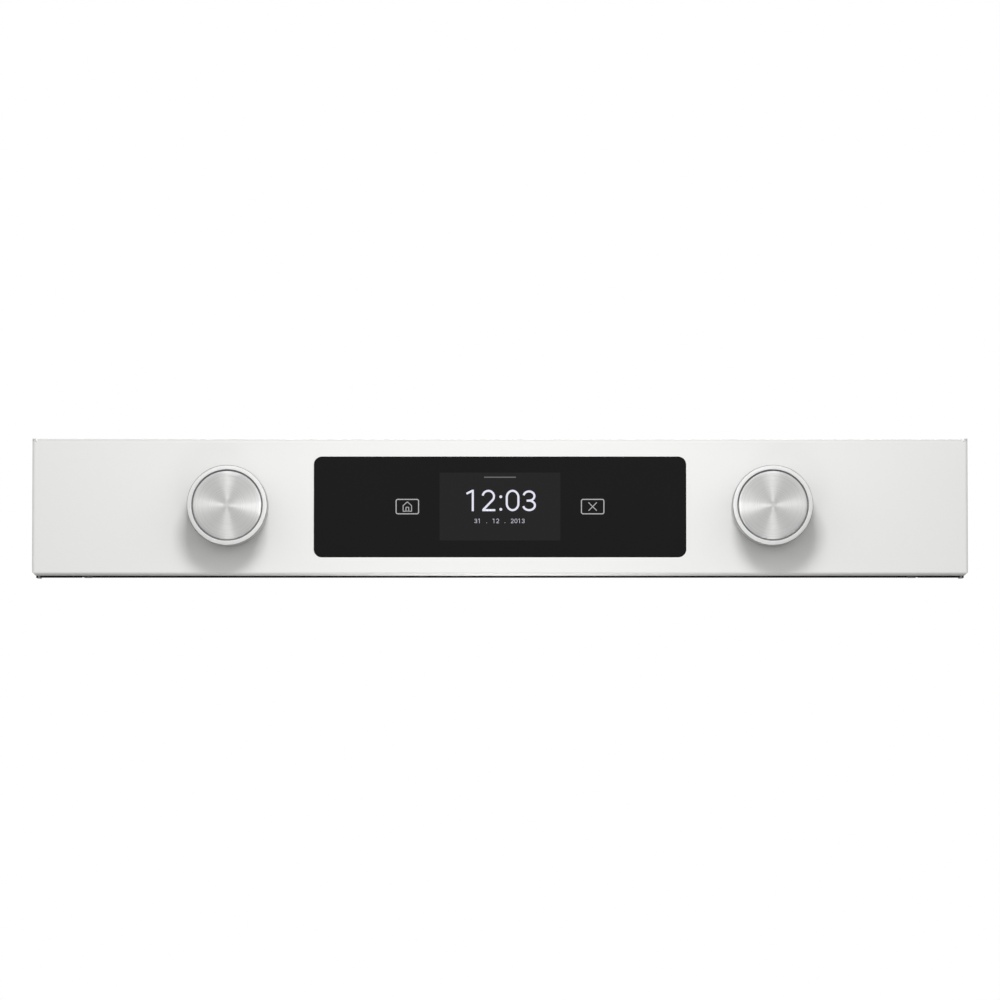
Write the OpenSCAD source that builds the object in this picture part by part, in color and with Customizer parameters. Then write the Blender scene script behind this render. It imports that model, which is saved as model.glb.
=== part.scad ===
// Control panel of a built-in wall oven: a folded steel fascia with a glass touch display in the
// middle, one rotary push knob on each side, and the electronics and brackets behind them.
// +X is to the right and +Y is to the back, both as seen by a person in front, and +Z is up.
// The origin is the centre of the four chassis screws, in the plane that meets the oven's frame.

/* [Fascia] */
// Width of the fascia
fascia_w = 595; // [560:1:600]
// Height of the fascia
fascia_h = 87; // [84:0.5:110]
// Depth from the fascia's front face to the mounting plane
fascia_d = 24; // [24:0.5:30]
// Thickness of the fascia's steel sheet
sheet_t = 1; // [0.8:0.1:1.2]
// Outside radius of the folds
bend_r = 2.2; // [1.6:0.1:3]
// Width of the relief notch beside each upper corner
corner_notch_w = 1; // [0.6:0.1:1.5]

/* [Display] */
// Width of the glass
glass_w = 236; // [220:1:240]
// Height of the glass
glass_h = 63.4; // [62:0.2:64]
// Corner radius of the glass
glass_r = 4.8; // [3:0.1:8]
// Thickness of the glass
glass_t = 3; // [2.6:0.1:3.2]
// Width of the screen's picture
screen_w = 77; // [60:1:80]
// Height of the screen's picture
screen_h = 43.3; // [38:0.1:46]
// Distance from the middle to the centre of each touch key
key_x = 58.9; // [56:0.1:70]
// Width of a touch key's printed frame
key_w = 14.9; // [12:0.1:16]
// Height of a touch key's printed frame
key_h = 9.6; // [8:0.1:12]

/* [Knobs] */
// Distance from the middle to each knob's axis
knob_x = 172.5; // [170:0.5:185]
// Diameter of the knob
knob_d = 51; // [48:0.5:54]
// Height of the knob's rim above the fascia
knob_h = 22; // [20:0.5:26]
// Gap between the knob and the fascia
knob_gap = 2.2; // [2:0.1:3]
// Width of the bright rim round the cap
rim_w = 2.9; // [2.2:0.05:3.5]
// Width of the groove between the rim and the cap
groove_w = 1; // [0.5:0.05:1.2]
// Travel of the knob when it is pressed
push_travel = 1.2; // [0.8:0.1:1.2]

/* [Chassis mount] */
// Distance between the left and right chassis screws
chassis_pitch_x = 562; // [540:1:564]
// Distance between the upper and lower chassis screws
chassis_pitch_z = 50; // [40:1:60]
// Diameter of the chassis screw holes
chassis_hole_d = 4.4; // [4.2:0.1:4.6]

/* [Hidden] */
$fn = 64;

// Running clearance between a turning piece and its bore, and a hair to cut cleanly past a face
run_gap = 0.05;
cut = 0.1;

// Planes from front to back
face_y = -fascia_d;
fascia_back_y = face_y + sheet_t;
half_w = fascia_w / 2;
half_h = fascia_h / 2;

// Folded edges: how far each return reaches back, and the cut across each lower corner
corner_cut = 2.2;
return_end_y = -2;
bottom_return_end_y = face_y + 8;
shaft_hole_r = 6;

// Weld studs: M3, on the back of the fascia
stud_r = 1.5;
stud_len = 8;
nut_r = 3.2;
nut_t = 2.4;
stud_hole_r = 1.75;

// Display carrier: a moulded tray behind the window
carrier_w = 256;
carrier_h = 74;
carrier_front_y = fascia_back_y + 1;
carrier_plate_t = 3;
carrier_back_y = -6;
carrier_wall = 2;
window_gap = 0.4;
glass_back_y = face_y + glass_t;
tape_t = 0.5;
ledge_window_w = 204;
ledge_window_h = 56;
carrier_slot_pitch = 28;
carrier_slot_count = 3;
ear_x = carrier_w / 2 + 6;
ear_z = 24;

// Screen behind the glass
cell_w = screen_w + 4;
cell_h = screen_h + 4.7;
cell_t = 1.6;
backlight_w = 86;
backlight_h = 52;
backlight_t = 3;
backlight_y = glass_back_y + cell_t;

// User interface board
board_w = 224;
board_h = 58;
board_t = 1.6;
board_y = -12.6;
board_back_y = board_y + board_t;
board_hole_x = 107;
board_hole_z = 24.5;
board_screw_hole_r = 1.65;
screw_head_t = 1.4;

// Bare edge of the board that the oven's own plug slides onto
edge_tab_len = 7;
edge_tab_w = 16;
edge_tab_z = -10;
edge_contact_pitch = 2.5;
edge_contact_count = 6;
edge_contact_t = 0.05;

// Brackets
steel_t = 1.2;
bracket_web_x = half_w - 3.3;
bracket_half_h = 36;
bracket_foot_inner_x = 248;
bracket_flange_inner_x = 268;
bracket_stud_x = 256;
bracket_stud_z = 26;
seal_lip_t = 1.1;
guide_drop = 0.4;
guide_lip_drop = 1.2;
guide_t = 1;
guide_bottom_z = -half_h - guide_drop;
lip_bottom_z = -half_h - guide_lip_drop;
guide_front_y = bottom_return_end_y + 0.2;
guide_back_y = -1;
guide_screw_x = 262.5;
guide_screw_y = -8;
guide_screw_head_t = 0.6;
guide_slot_pitch = 16;
guide_slot_count = 30;

// Encoder: bracket, body and base behind each knob
omega_half_w = 20;
omega_plate_y = -16.2;
omega_half_h = 23;
omega_foot_end_z = 37;
omega_stud_x = 13;
omega_stud_z = 30.5;
can_y = omega_plate_y + steel_t;
can_t = 1.2;
can_tab_t = 0.5;
retainer_r = 6;
bushing_r = 4.5;
bushing_len = 6;
shaft_r = 3;
base_y = can_y + can_t;
base_end_y = -3.2;
base_half = 7.5;
rotor_cavity_r = 6.3;
rotor_cavity_end_y = -8;
switch_floor_y = -7;
switch_pocket_end_y = -4;
tail_r = 2;
rotor_y = -11.3;
rotor_t = 2;
rotor_r = 5.7;
plunger_flange_y = -6.95;
plunger_flange_t = 0.75;
spring_turns = 2;
spring_r = 2.4;
spring_wire = 0.3;
encoder_board_t = 1.6;
encoder_board_in = 24;
encoder_board_out = 16;
encoder_board_half_h = 15;
spacer_x = -12;
spacer_z = 11;

// Flat lead from each encoder board to the user board
lead_w = 6;
lead_t = 1.2;
header_l = 7;
header_w = 9;
header_t = 5;
plug_l = 5;
lead_z = 6;
board_header_x = board_w / 2 - 6;
encoder_header_in = 15;

// Knob, measured forward from the fascia's face
rim_f = knob_h;
recess_f = rim_f - 2.4;
web_f = recess_f - 2;
cap_f = rim_f - 0.4;
shell_wall = 2;
spigot_r = 8;
knob_r = knob_d / 2;
cap_r = knob_r - rim_w - groove_w;
hub_r = 6.5;
hub_start_f = 3.2;
shaft_end_f = 16.5;
flat_depth = 1.5;
hub_rib_count = 6;
hub_rib_t = 1.8;
hub_bore_end_f = shaft_end_f + 0.3;
clip_front_f = 7.2;
clip_back_f = 5.6;
clip_t = 0.7;

// A slab from one depth to another, with its outline drawn in X and Z
module slab(front, back)
    translate([0, back, 0])
        rotate([90, 0, 0])
            linear_extrude(back - front)
                children();

// A box given by its lowest and highest corners
module block(low, high)
    translate(low)
        cube(high - low);

// A turned piece on an axis along Y: the profile's x is the radius and its y is -Y
module turned()
    rotate([90, 0, 0])
        rotate_extrude($fn = 96)
            children();

// A round bar or hole along Y
module bar(r, front, back, x = 0, z = 0, fn = 48)
    translate([x, back, z])
        rotate([90, 0, 0])
            cylinder(r = r, h = back - front, $fn = fn);

// A rectangle with round corners
module rounded(w, h, r) {
    square([w - 2 * r, h], center = true);
    square([w, h - 2 * r], center = true);
    for (sx = [-1, 1], sz = [-1, 1])
        translate([sx * (w / 2 - r), sz * (h / 2 - r)])
            circle(r = r, $fn = 48);
}

// Puts a piece made for the left side on the side asked for
module on_side(side)
    if (side < 0) children();
    else mirror([1, 0, 0]) children();

// Moves to the left knob's axis
module at_knob(side)
    on_side(side)
        translate([-knob_x, 0, 0])
            children();

// A quarter of a bent sheet along X, from the front face to a horizontal return
module fold_along_x(length)
    rotate([0, 90, 0])
        translate([0, 0, -length / 2])
            difference() {
                cylinder(r = bend_r, h = length, $fn = 64);
                translate([0, 0, -cut])
                    cylinder(r = bend_r - sheet_t, h = length + 2 * cut, $fn = 64);
                translate([-bend_r - cut, 0, -cut])
                    cube([2 * (bend_r + cut), bend_r + cut, length + 2 * cut]);
                translate([0, -bend_r - cut, -cut])
                    cube([bend_r + cut, 2 * (bend_r + cut), length + 2 * cut]);
            }

// One horizontal edge of the fascia, folded back at the top, with a notch at each end
module top_fold(end_y, notch_w) {
    fold_w = fascia_w - 2 * (bend_r + notch_w);
    translate([0, face_y + bend_r, half_h - bend_r])
        fold_along_x(fold_w);
    block([-fold_w / 2, face_y + bend_r, half_h - sheet_t], [fold_w / 2, end_y, half_h]);
}

// The left edge of the fascia, folded back over its full height, its lower corner cut off
module side_fold()
    difference() {
        union() {
            translate([-half_w + bend_r, face_y + bend_r, -half_h])
                cylinder(r = bend_r, h = fascia_h, $fn = 64);
            block([-half_w, face_y + bend_r, -half_h], [-half_w + sheet_t, return_end_y, half_h]);
        }
        translate([-half_w + bend_r, face_y + bend_r, -half_h - cut])
            cylinder(r = bend_r - sheet_t, h = fascia_h + 2 * cut, $fn = 64);
        block([-half_w + bend_r, face_y - cut, -half_h - cut],
            [-half_w + 2 * bend_r + cut, face_y + 2 * bend_r + cut, half_h + cut]);
        block([-half_w + sheet_t, face_y + bend_r, -half_h - cut],
            [-half_w + 2 * bend_r, face_y + 2 * bend_r + cut, half_h + cut]);
        slab(face_y - cut, return_end_y + cut)
            polygon([
                [-half_w - cut, -half_h - cut], [-half_w + corner_cut + cut, -half_h - cut],
                [-half_w - cut, -half_h + corner_cut + cut]
            ]);
        outside_lower_fold();
    }

// What lies outside the rounded lower edge, at the left end of the panel
module outside_lower_fold()
    difference() {
        block([-half_w - cut, face_y - cut, -half_h - cut],
            [-half_w + bend_r + cut, face_y + bend_r, -half_h + bend_r]);
        translate([-half_w - 2 * cut, face_y + bend_r, -half_h + bend_r])
            rotate([0, 90, 0])
                cylinder(r = bend_r, h = bend_r + 4 * cut, $fn = 64);
    }

module fascia()
    color("#f1f1ef")
        difference() {
            union() {
                block([-half_w + bend_r, face_y, -half_h + bend_r],
                    [half_w - bend_r, fascia_back_y, half_h - bend_r]);
                top_fold(return_end_y, corner_notch_w);
                mirror([0, 0, 1]) top_fold(bottom_return_end_y, 0);
                side_fold();
                mirror([1, 0, 0]) side_fold();
            }
            slab(face_y - cut, fascia_back_y + cut)
                rounded(glass_w + 2 * window_gap, glass_h + 2 * window_gap, glass_r + window_gap);
            for (side = [-1, 1])
                bar(shaft_hole_r, face_y - cut, fascia_back_y + cut, side * knob_x);
        }

// Where the weld studs stand on the back of the fascia
stud_places = concat(
    [for (sx = [-1, 1], sz = [-1, 1]) [sx * ear_x, sz * ear_z, carrier_front_y + carrier_plate_t]],
    [for (sx = [-1, 1], sz = [-1, 1])
        [sx * bracket_stud_x, sz * bracket_stud_z, fascia_back_y + steel_t]],
    [for (sx = [-1, 1], dx = [-1, 1], sz = [-1, 1])
        [sx * knob_x + dx * omega_stud_x, sz * omega_stud_z, fascia_back_y + steel_t]]
);

module weld_studs()
    color("#b8763c")
        for (place = stud_places)
            bar(stud_r, fascia_back_y, fascia_back_y + stud_len, place[0], place[1], 32);

// A flanged hex nut on each stud, drawn up against the sheet or ear that it holds
module stud_nuts()
    color("#c9ccd0")
        for (place = stud_places)
            difference() {
                union() {
                    bar(nut_r, place[2] + 0.6, place[2] + nut_t, place[0], place[1], 6);
                    bar(nut_r + 0.6, place[2], place[2] + 0.6, place[0], place[1], 32);
                }
                bar(stud_r, place[2] - cut, place[2] + nut_t + cut, place[0], place[1], 32);
            }

// Zinc-plated bracket at the left end: a foot on the fascia, a web, a flange on the oven's frame
// and a tab that carries the air guide
module end_bracket(side)
    color("#c4c8cb")
        on_side(side)
            difference() {
                union() {
                    block([-bracket_web_x, fascia_back_y, -bracket_half_h],
                        [-bracket_foot_inner_x, fascia_back_y + steel_t, bracket_half_h]);
                    block([-bracket_web_x, fascia_back_y, -bracket_half_h],
                        [-bracket_web_x + steel_t, 0, bracket_half_h]);
                    block([-bracket_web_x, guide_front_y, lip_bottom_z],
                        [-bracket_web_x + steel_t, 0, bracket_half_h]);
                    block([-bracket_web_x, -steel_t, -bracket_half_h],
                        [-bracket_flange_inner_x, 0, bracket_half_h]);
                    block([-bracket_web_x, guide_front_y + 1, guide_bottom_z + guide_t],
                        [-guide_screw_x + 8, guide_back_y - 2, guide_bottom_z + guide_t + steel_t]);
                }
                for (sz = [-1, 1]) {
                    bar(stud_hole_r, fascia_back_y - cut, fascia_back_y + steel_t + cut,
                        -bracket_stud_x, sz * bracket_stud_z, 32);
                    bar(chassis_hole_d / 2, -steel_t - cut, cut,
                        -chassis_pitch_x / 2, sz * chassis_pitch_z / 2);
                }
                translate([-guide_screw_x, guide_screw_y, guide_bottom_z])
                    cylinder(r = 1.5, h = 5, $fn = 32);
            }

// Foam strip between each end bracket and the fascia's side, with a thin lip to the bottom
module side_seals()
    color("#161616")
        for (side = [-1, 1])
            on_side(side) {
                block([-half_w + sheet_t, guide_front_y, -half_h + corner_cut],
                    [-bracket_web_x, -3, bracket_half_h]);
                block([-bracket_web_x - seal_lip_t, guide_front_y, lip_bottom_z],
                    [-bracket_web_x, -3, -half_h + corner_cut]);
            }

// Black steel strip under the panel: a front lip that hangs below the fascia, open in front of
// each screw, a row of slots for the cooling air, and a flange turned up at the back
module air_guide() {
    guide_half_w = bracket_web_x - steel_t - 0.3;
    color("#141414")
        difference() {
            union() {
                block([-guide_half_w, guide_front_y, guide_bottom_z],
                    [guide_half_w, guide_back_y, guide_bottom_z + guide_t]);
                block([-guide_half_w, guide_front_y, lip_bottom_z],
                    [guide_half_w, guide_front_y + guide_t, guide_bottom_z]);
                block([-guide_screw_x + 10, guide_back_y - guide_t, guide_bottom_z],
                    [guide_screw_x - 10, guide_back_y, guide_bottom_z + 6]);
            }
            for (i = [0 : guide_slot_count - 1])
                translate([(i - (guide_slot_count - 1) / 2) * guide_slot_pitch, guide_screw_y,
                        guide_bottom_z - cut])
                    vent_slot(11, 3, guide_t + 2 * cut);
            for (side = [-1, 1])
                translate([side * guide_screw_x, guide_screw_y, guide_bottom_z - cut])
                    cylinder(r = 1.7, h = guide_t + 2 * cut, $fn = 32);
            for (side = [-1, 1])
                translate([side * guide_screw_x, guide_front_y, guide_bottom_z])
                    block([-3.5, -cut, -guide_lip_drop], [3.5, guide_t + cut, 0]);
        }
}

// A slot with round ends, along X
module vent_slot(length, width, height) {
    translate([-(length - width) / 2, -width / 2, 0])
        cube([length - width, width, height]);
    for (sx = [-1, 1])
        translate([sx * (length - width) / 2, 0, 0])
            cylinder(r = width / 2, h = height, $fn = 32);
}

module air_guide_screws()
    color("#8a8d90")
        for (side = [-1, 1])
            translate([side * guide_screw_x, guide_screw_y, guide_bottom_z])
                difference() {
                    union() {
                        translate([0, 0, -guide_screw_head_t])
                            cylinder(r = 2.9, h = guide_screw_head_t, $fn = 48);
                        cylinder(r = 1.5, h = 4.5, $fn = 32);
                    }
                    translate([0, 0, -guide_screw_head_t - cut])
                        cylinder(r = 1.3, h = guide_screw_head_t, $fn = 6);
                }

// Foam frame between the fascia and the carrier
module window_gasket()
    color("#1d1d1f")
        slab(fascia_back_y, carrier_front_y)
            difference() {
                rounded(carrier_w - 2, carrier_h - 1, 6);
                rounded(glass_w + 2, glass_h + 2, glass_r + 1);
            }

module glass()
    color("#0c0c0d")
        slab(face_y, glass_back_y)
            rounded(glass_w, glass_h, glass_r);

// Double-sided tape that bonds the glass to the carrier's ledge
module glass_tape()
    color("#2b2b2b")
        slab(glass_back_y, glass_back_y + tape_t)
            difference() {
                rounded(glass_w - 1, glass_h - 1, glass_r - 0.5);
                rounded(ledge_window_w + 2, ledge_window_h + 1, 3);
            }

// Moulded tray: glass pocket and ledge in front, walls, bosses, ears and lead notches behind
module display_carrier() {
    plate_back_y = carrier_front_y + carrier_plate_t;
    color("#1a1a1c")
        difference() {
            union() {
                slab(carrier_front_y, plate_back_y) rounded(carrier_w, carrier_h, 6);
                slab(plate_back_y, carrier_back_y)
                    difference() {
                        rounded(carrier_w, carrier_h, 6);
                        rounded(carrier_w - 2 * carrier_wall, carrier_h - 2 * carrier_wall, 4);
                    }
                for (sx = [-1, 1], sz = [-1, 1]) {
                    bar(3.6, plate_back_y, board_y, sx * board_hole_x, sz * board_hole_z);
                    block([min(sx * (ear_x + 5), sx * ear_x - sx * 8), carrier_front_y, sz * ear_z - 5],
                        [max(sx * (ear_x + 5), sx * ear_x - sx * 8), plate_back_y, sz * ear_z + 5]);
                    for (rib = [20, 48, 76])
                        block([sx * rib - 0.75, plate_back_y, sz * 33 - 2],
                            [sx * rib + 0.75, carrier_back_y - 5, sz * 33 + 2]);
                }
            }
            slab(carrier_front_y - cut, glass_back_y + tape_t)
                rounded(glass_w + 2 * window_gap, glass_h + 2 * window_gap, glass_r + window_gap);
            slab(carrier_front_y - cut, plate_back_y + cut)
                rounded(ledge_window_w, ledge_window_h, 2);
            for (sx = [-1, 1], sz = [-1, 1]) {
                bar(stud_hole_r, carrier_front_y - cut, plate_back_y + cut,
                    sx * ear_x, sz * ear_z, 32);
                bar(1.3, board_y - 5, board_y + cut, sx * board_hole_x, sz * board_hole_z, 32);
            }
            for (side = [-1, 1])
                on_side(side)
                    block([-carrier_w / 2 - cut, board_back_y, lead_z - header_w / 2 - 0.8],
                        [-carrier_w / 2 + carrier_wall + cut, carrier_back_y + cut,
                            lead_z + header_w / 2 + 0.8]);
            block([carrier_w / 2 - carrier_wall - cut, board_y - 3, edge_tab_z - edge_tab_w / 2 - 1.5],
                [carrier_w / 2 + cut, carrier_back_y + cut, edge_tab_z + edge_tab_w / 2 + 1.5]);
            for (i = [-carrier_slot_count : carrier_slot_count], sz = [-1, 1])
                translate([i * carrier_slot_pitch, 0, sz * carrier_h / 2])
                    block([-7, board_back_y, -carrier_wall - cut], [7, carrier_back_y - 2.5, cut]);
        }
}

module lcd_cell()
    color("#26262a")
        block([-cell_w / 2, glass_back_y, -cell_h / 2], [cell_w / 2, backlight_y, cell_h / 2]);

// Pressed tray with the light sheet in it, and a raised lip round the edge
module lcd_backlight()
    color("#b9bdc0")
        difference() {
            block([-backlight_w / 2, backlight_y, -backlight_h / 2],
                [backlight_w / 2, backlight_y + backlight_t, backlight_h / 2]);
            block([-backlight_w / 2 + 3, backlight_y + backlight_t - 0.6, -backlight_h / 2 + 3],
                [backlight_w / 2 - 3, backlight_y + backlight_t + cut, backlight_h / 2 - 3]);
        }

// Ribbon from the screen's lower edge, through the slot in the board, up to its connector
flex_slot_z = -22.5;
flex_path = [
    [backlight_y + backlight_t - 0.42, -17], [backlight_y + backlight_t - 0.42, -20],
    [backlight_y + backlight_t + 0.6, -21.8], [board_y - 1, flex_slot_z],
    [board_back_y + 0.8, flex_slot_z],
    [board_back_y + 1.5, flex_slot_z + 0.8], [board_back_y + 1.5, flex_slot_z + 5]
];
flex_t = 0.3;

module lcd_flex()
    color("#c98b2b")
        rotate([90, 0, 90])
            translate([0, 0, -12])
                linear_extrude(24)
                    ribbon_outline(flex_path, flex_t);

// The outline of a thin ribbon that follows a path: each straight is a bar with round ends
module ribbon_outline(path, thickness)
    for (i = [0 : len(path) - 2]) {
        run = path[i + 1] - path[i];
        translate(path[i])
            rotate(atan2(run[1], run[0]))
                translate([0, -thickness / 2])
                    square([norm(run), thickness]);
        translate(path[i])
            circle(d = thickness, $fn = 16);
    }

// Thin copper film on the front of each light guide, which senses the finger
module key_electrodes()
    color("#c07a45")
        for (side = [-1, 1])
            block([side * key_x - key_w / 2, glass_back_y, -key_h / 2],
                [side * key_x + key_w / 2, glass_back_y + 0.2, key_h / 2]);

module key_light_guides()
    color("#e8e8e4")
        for (side = [-1, 1])
            difference() {
                block([side * key_x - key_w / 2 - 1, glass_back_y + 0.2, -key_h / 2 - 1],
                    [side * key_x + key_w / 2 + 1, board_y, key_h / 2 + 1]);
                block([side * key_x - 2.5, board_y - 2, -2], [side * key_x + 2.5, board_y + cut, 2]);
            }

// Green board with four screw holes, the slot for the screen's ribbon and the bare edge tab
module user_board()
    color("#1f5a3a")
        difference() {
            union() {
                slab(board_y, board_back_y) rounded(board_w, board_h, 2);
                block([board_w / 2 - 1, board_y, edge_tab_z - edge_tab_w / 2],
                    [board_w / 2 + edge_tab_len, board_back_y, edge_tab_z + edge_tab_w / 2]);
            }
            for (sx = [-1, 1], sz = [-1, 1])
                bar(board_screw_hole_r, board_y - cut, board_back_y + cut,
                    sx * board_hole_x, sz * board_hole_z, 32);
            block([-14, board_y - cut, flex_slot_z - 1.2], [14, board_back_y + cut, flex_slot_z + 1.2]);
        }

// Flat packages on the back of the board: [x, z, width, height, thickness]
chip_places = [
    [-24, 8, 14, 14, 1.4], [-44, 10, 10, 8, 1], [-44, -2, 8, 6, 1], [20, 12, 5, 6, 1.2],
    [-6, 14, 5, 3.2, 1.1], [88, -14, 6.5, 6, 1.5], [-62, 16, 5, 4, 1.2], [4, -5, 6, 4, 1.2]
];

module board_chips()
    color("#1b1b1d") {
        for (chip = chip_places)
            block([chip[0] - chip[2] / 2, board_back_y, chip[1] - chip[3] / 2],
                [chip[0] + chip[2] / 2, board_back_y + chip[4], chip[1] + chip[3] / 2]);
        block([-14, board_back_y, flex_slot_z + 5], [14, board_back_y + 2, flex_slot_z + 9.5]);
        for (side = [-1, 1])
            block([side * key_x - 1.75, board_y - 1, -1.4], [side * key_x + 1.75, board_y, 1.4]);
    }

// Radio board with its screening can
module radio_module()
    color("#a9adb0") {
        block([51, board_back_y, -6], [69, board_back_y + 0.8, 19]);
        block([52, board_back_y + 0.8, -5], [68, board_back_y + 3, 12]);
    }

module buzzer()
    color("#151515")
        translate([-86, 0, -10])
            difference() {
                bar(6, board_back_y, board_back_y + 5.5);
                bar(1, board_back_y + 3, board_back_y + 5.5 + cut);
            }

// Electrolytic cans and one choke: [x, z, radius, height]
can_places = [
    [38, 16, 3.15, 7.7], [38, 6, 3.15, 7.7], [92, 2, 4, 8], [30, -16, 4, 4], [-84, 10, 5.4, 4.5]
];

module capacitors()
    color("#9ea3a8")
        for (can = can_places)
            bar(can[2], board_back_y, board_back_y + can[3], can[0], can[1]);

// Side-entry socket for a lead, its mouth towards -X; origin at the board's face
module lead_header()
    difference() {
        block([0, 0, -header_w / 2], [header_l, header_t, header_w / 2]);
        block([-cut, 0.8, -header_w / 2 + 0.8], [header_l - 1.5, header_t - 0.8, header_w / 2 - 0.8]);
    }

// The centre of each header's face on its board, and the plane that it stands on
header_on_board = [-board_header_x, board_back_y, lead_z];
header_on_encoder = [-knob_x + encoder_header_in, base_end_y, lead_z];

module lead_headers()
    color("#e9e4d6")
        for (side = [-1, 1])
            on_side(side) {
                translate(header_on_board) lead_header();
                translate(header_on_encoder) rotate([0, 0, 180]) lead_header();
            }

// Plug body that fills a header's mouth and stands out of it; origin as for the header
module lead_plug() {
    block([-plug_l + 2, 1, -header_w / 2 + 1], [header_l - 2, header_t - 1, header_w / 2 - 1]);
    block([-plug_l, 0.6, -header_w / 2 + 0.4], [-0.3, header_t - 0.6, header_w / 2 - 0.4]);
}

module lead_plugs()
    color("#f4f1e8")
        for (side = [-1, 1])
            on_side(side) {
                translate(header_on_board) lead_plug();
                translate(header_on_encoder) rotate([0, 0, 180]) lead_plug();
            }

// Route of the flat lead between the two plugs, in X and Y, seen from above
lead_start = [header_on_board[0] - plug_l, header_on_board[1] + header_t / 2];
lead_end = [header_on_encoder[0] + plug_l, header_on_encoder[1] - header_t / 2];
lead_points = [for (t = [0 : 0.1 : 1])
    [lead_start[0] + (lead_end[0] - lead_start[0]) * t,
        lead_start[1] + (lead_end[1] - lead_start[1]) * t * t * (3 - 2 * t)]];

module encoder_lead(side)
    color("#d9d9d6")
        on_side(side)
            translate([0, 0, lead_z - lead_w / 2])
                linear_extrude(lead_w)
                    polygon(concat(
                        [for (p = lead_points) p + [0, lead_t / 2]],
                        [for (i = [len(lead_points) - 1 : -1 : 0]) lead_points[i] - [0, lead_t / 2]]
                    ));

// Plated contacts on both faces of the edge tab
module edge_contacts()
    color("#c9a24c")
        for (i = [0 : edge_contact_count - 1], face = [board_y - edge_contact_t, board_back_y])
            translate([board_w / 2 + 1.5, face,
                    edge_tab_z + (i - (edge_contact_count - 1) / 2) * edge_contact_pitch])
                block([0, 0, -0.8], [edge_tab_len - 2, edge_contact_t, 0.8]);

// Pan-head screw into a boss or spacer, driven from the back
module board_screw(seat_y)
    difference() {
        union() {
            bar(2.8, seat_y, seat_y + screw_head_t, fn = 48);
            bar(1.3, seat_y - 5, seat_y, fn = 32);
        }
        bar(1.1, seat_y + screw_head_t / 2, seat_y + screw_head_t + cut, fn = 6);
    }

module board_screws()
    color("#b9bcbf") {
        for (sx = [-1, 1], sz = [-1, 1])
            translate([sx * board_hole_x, 0, sz * board_hole_z])
                board_screw(board_back_y);
        for (side = [-1, 1], sz = [-1, 1])
            at_knob(side)
                translate([spacer_x, 0, sz * spacer_z])
                    board_screw(base_end_y + encoder_board_t);
    }

// Hat-shaped steel bracket that holds the encoder off the fascia
module encoder_bracket(side)
    color("#c6cacc")
        at_knob(side)
            difference() {
                union() {
                    for (flip = [0, 1])
                        mirror([0, 0, flip]) {
                            block([-omega_half_w, fascia_back_y, omega_half_h],
                                [omega_half_w, fascia_back_y + steel_t, omega_foot_end_z]);
                            block([-omega_half_w, fascia_back_y, omega_half_h - steel_t / 2],
                                [omega_half_w, can_y, omega_half_h + steel_t / 2]);
                        }
                    block([-omega_half_w, omega_plate_y, -omega_half_h],
                        [omega_half_w, can_y, omega_half_h]);
                }
                bar(bushing_r + run_gap, omega_plate_y - cut, can_y + cut);
                for (sx = [-1, 1], sz = [-1, 1])
                    bar(stud_hole_r, fascia_back_y - cut, fascia_back_y + steel_t + cut,
                        sx * omega_stud_x, sz * omega_stud_z, 32);
                for (sz = [-1, 1])
                    bar(1.4, omega_plate_y - cut, can_y + cut, spacer_x, sz * spacer_z, 32);
            }

// Die-cast front of the encoder: the threaded bushing that guides the shaft, the ring that keeps
// the rotor back, and two tabs crimped over the base
module encoder_body(side)
    color("#b4b8bb")
        at_knob(side)
            difference() {
                union() {
                    block([-base_half, can_y, -base_half], [base_half, base_y, base_half]);
                    bar(bushing_r, can_y - bushing_len, can_y);
                    bar(retainer_r, base_y, rotor_y - 0.1);
                    for (sz = [-1, 1])
                        translate([0, 0, sz * (base_half + can_tab_t / 2)])
                            block([-3, can_y, -can_tab_t / 2], [3, base_end_y - 1, can_tab_t / 2]);
                }
                bar(retainer_r - 1.2, base_y, rotor_y);
                bar(shaft_r + run_gap, can_y - bushing_len - cut, base_y + cut);
            }

// Moulded base: a round room for the rotor, and behind it the pocket of the push switch
module encoder_base(side)
    color("#23262b")
        at_knob(side)
            difference() {
                block([-base_half, base_y, -base_half], [base_half, base_end_y, base_half]);
                bar(rotor_cavity_r, base_y - cut, rotor_cavity_end_y);
                bar(tail_r + 0.25, rotor_cavity_end_y - cut, switch_floor_y + cut);
                bar(3.9, switch_floor_y, switch_pocket_end_y);
            }

// Flanged hex nut on each bushing
module bushing_nuts()
    color("#c2a35a")
        for (side = [-1, 1])
            at_knob(side)
                difference() {
                    union() {
                        bar(8, omega_plate_y - 0.8, omega_plate_y);
                        bar(6.9, omega_plate_y - 2.8, omega_plate_y - 0.8, fn = 6);
                    }
                    bar(bushing_r, omega_plate_y - 3, omega_plate_y + cut);
                }

module encoder_board(side)
    color("#1f5a3a")
        at_knob(side)
            difference() {
                block([-encoder_board_out, base_end_y, -encoder_board_half_h],
                    [encoder_board_in, base_end_y + encoder_board_t, encoder_board_half_h]);
                for (sz = [-1, 1])
                    bar(board_screw_hole_r, base_end_y - cut, base_end_y + encoder_board_t + cut,
                        spacer_x, sz * spacer_z, 32);
            }

// Hex spacers, riveted to the bracket, that carry the outer edge of each encoder board
module board_spacers()
    color("#c9a24c")
        for (side = [-1, 1], sz = [-1, 1])
            at_knob(side)
                difference() {
                    union() {
                        bar(2.9, can_y, base_end_y, spacer_x, sz * spacer_z, 6);
                        bar(1.4, omega_plate_y, can_y, spacer_x, sz * spacer_z, 32);
                        bar(2.2, omega_plate_y - 0.5, omega_plate_y, spacer_x, sz * spacer_z, 32);
                    }
                    bar(1.3, base_end_y - 6, base_end_y + cut, spacer_x, sz * spacer_z, 32);
                }

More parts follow.
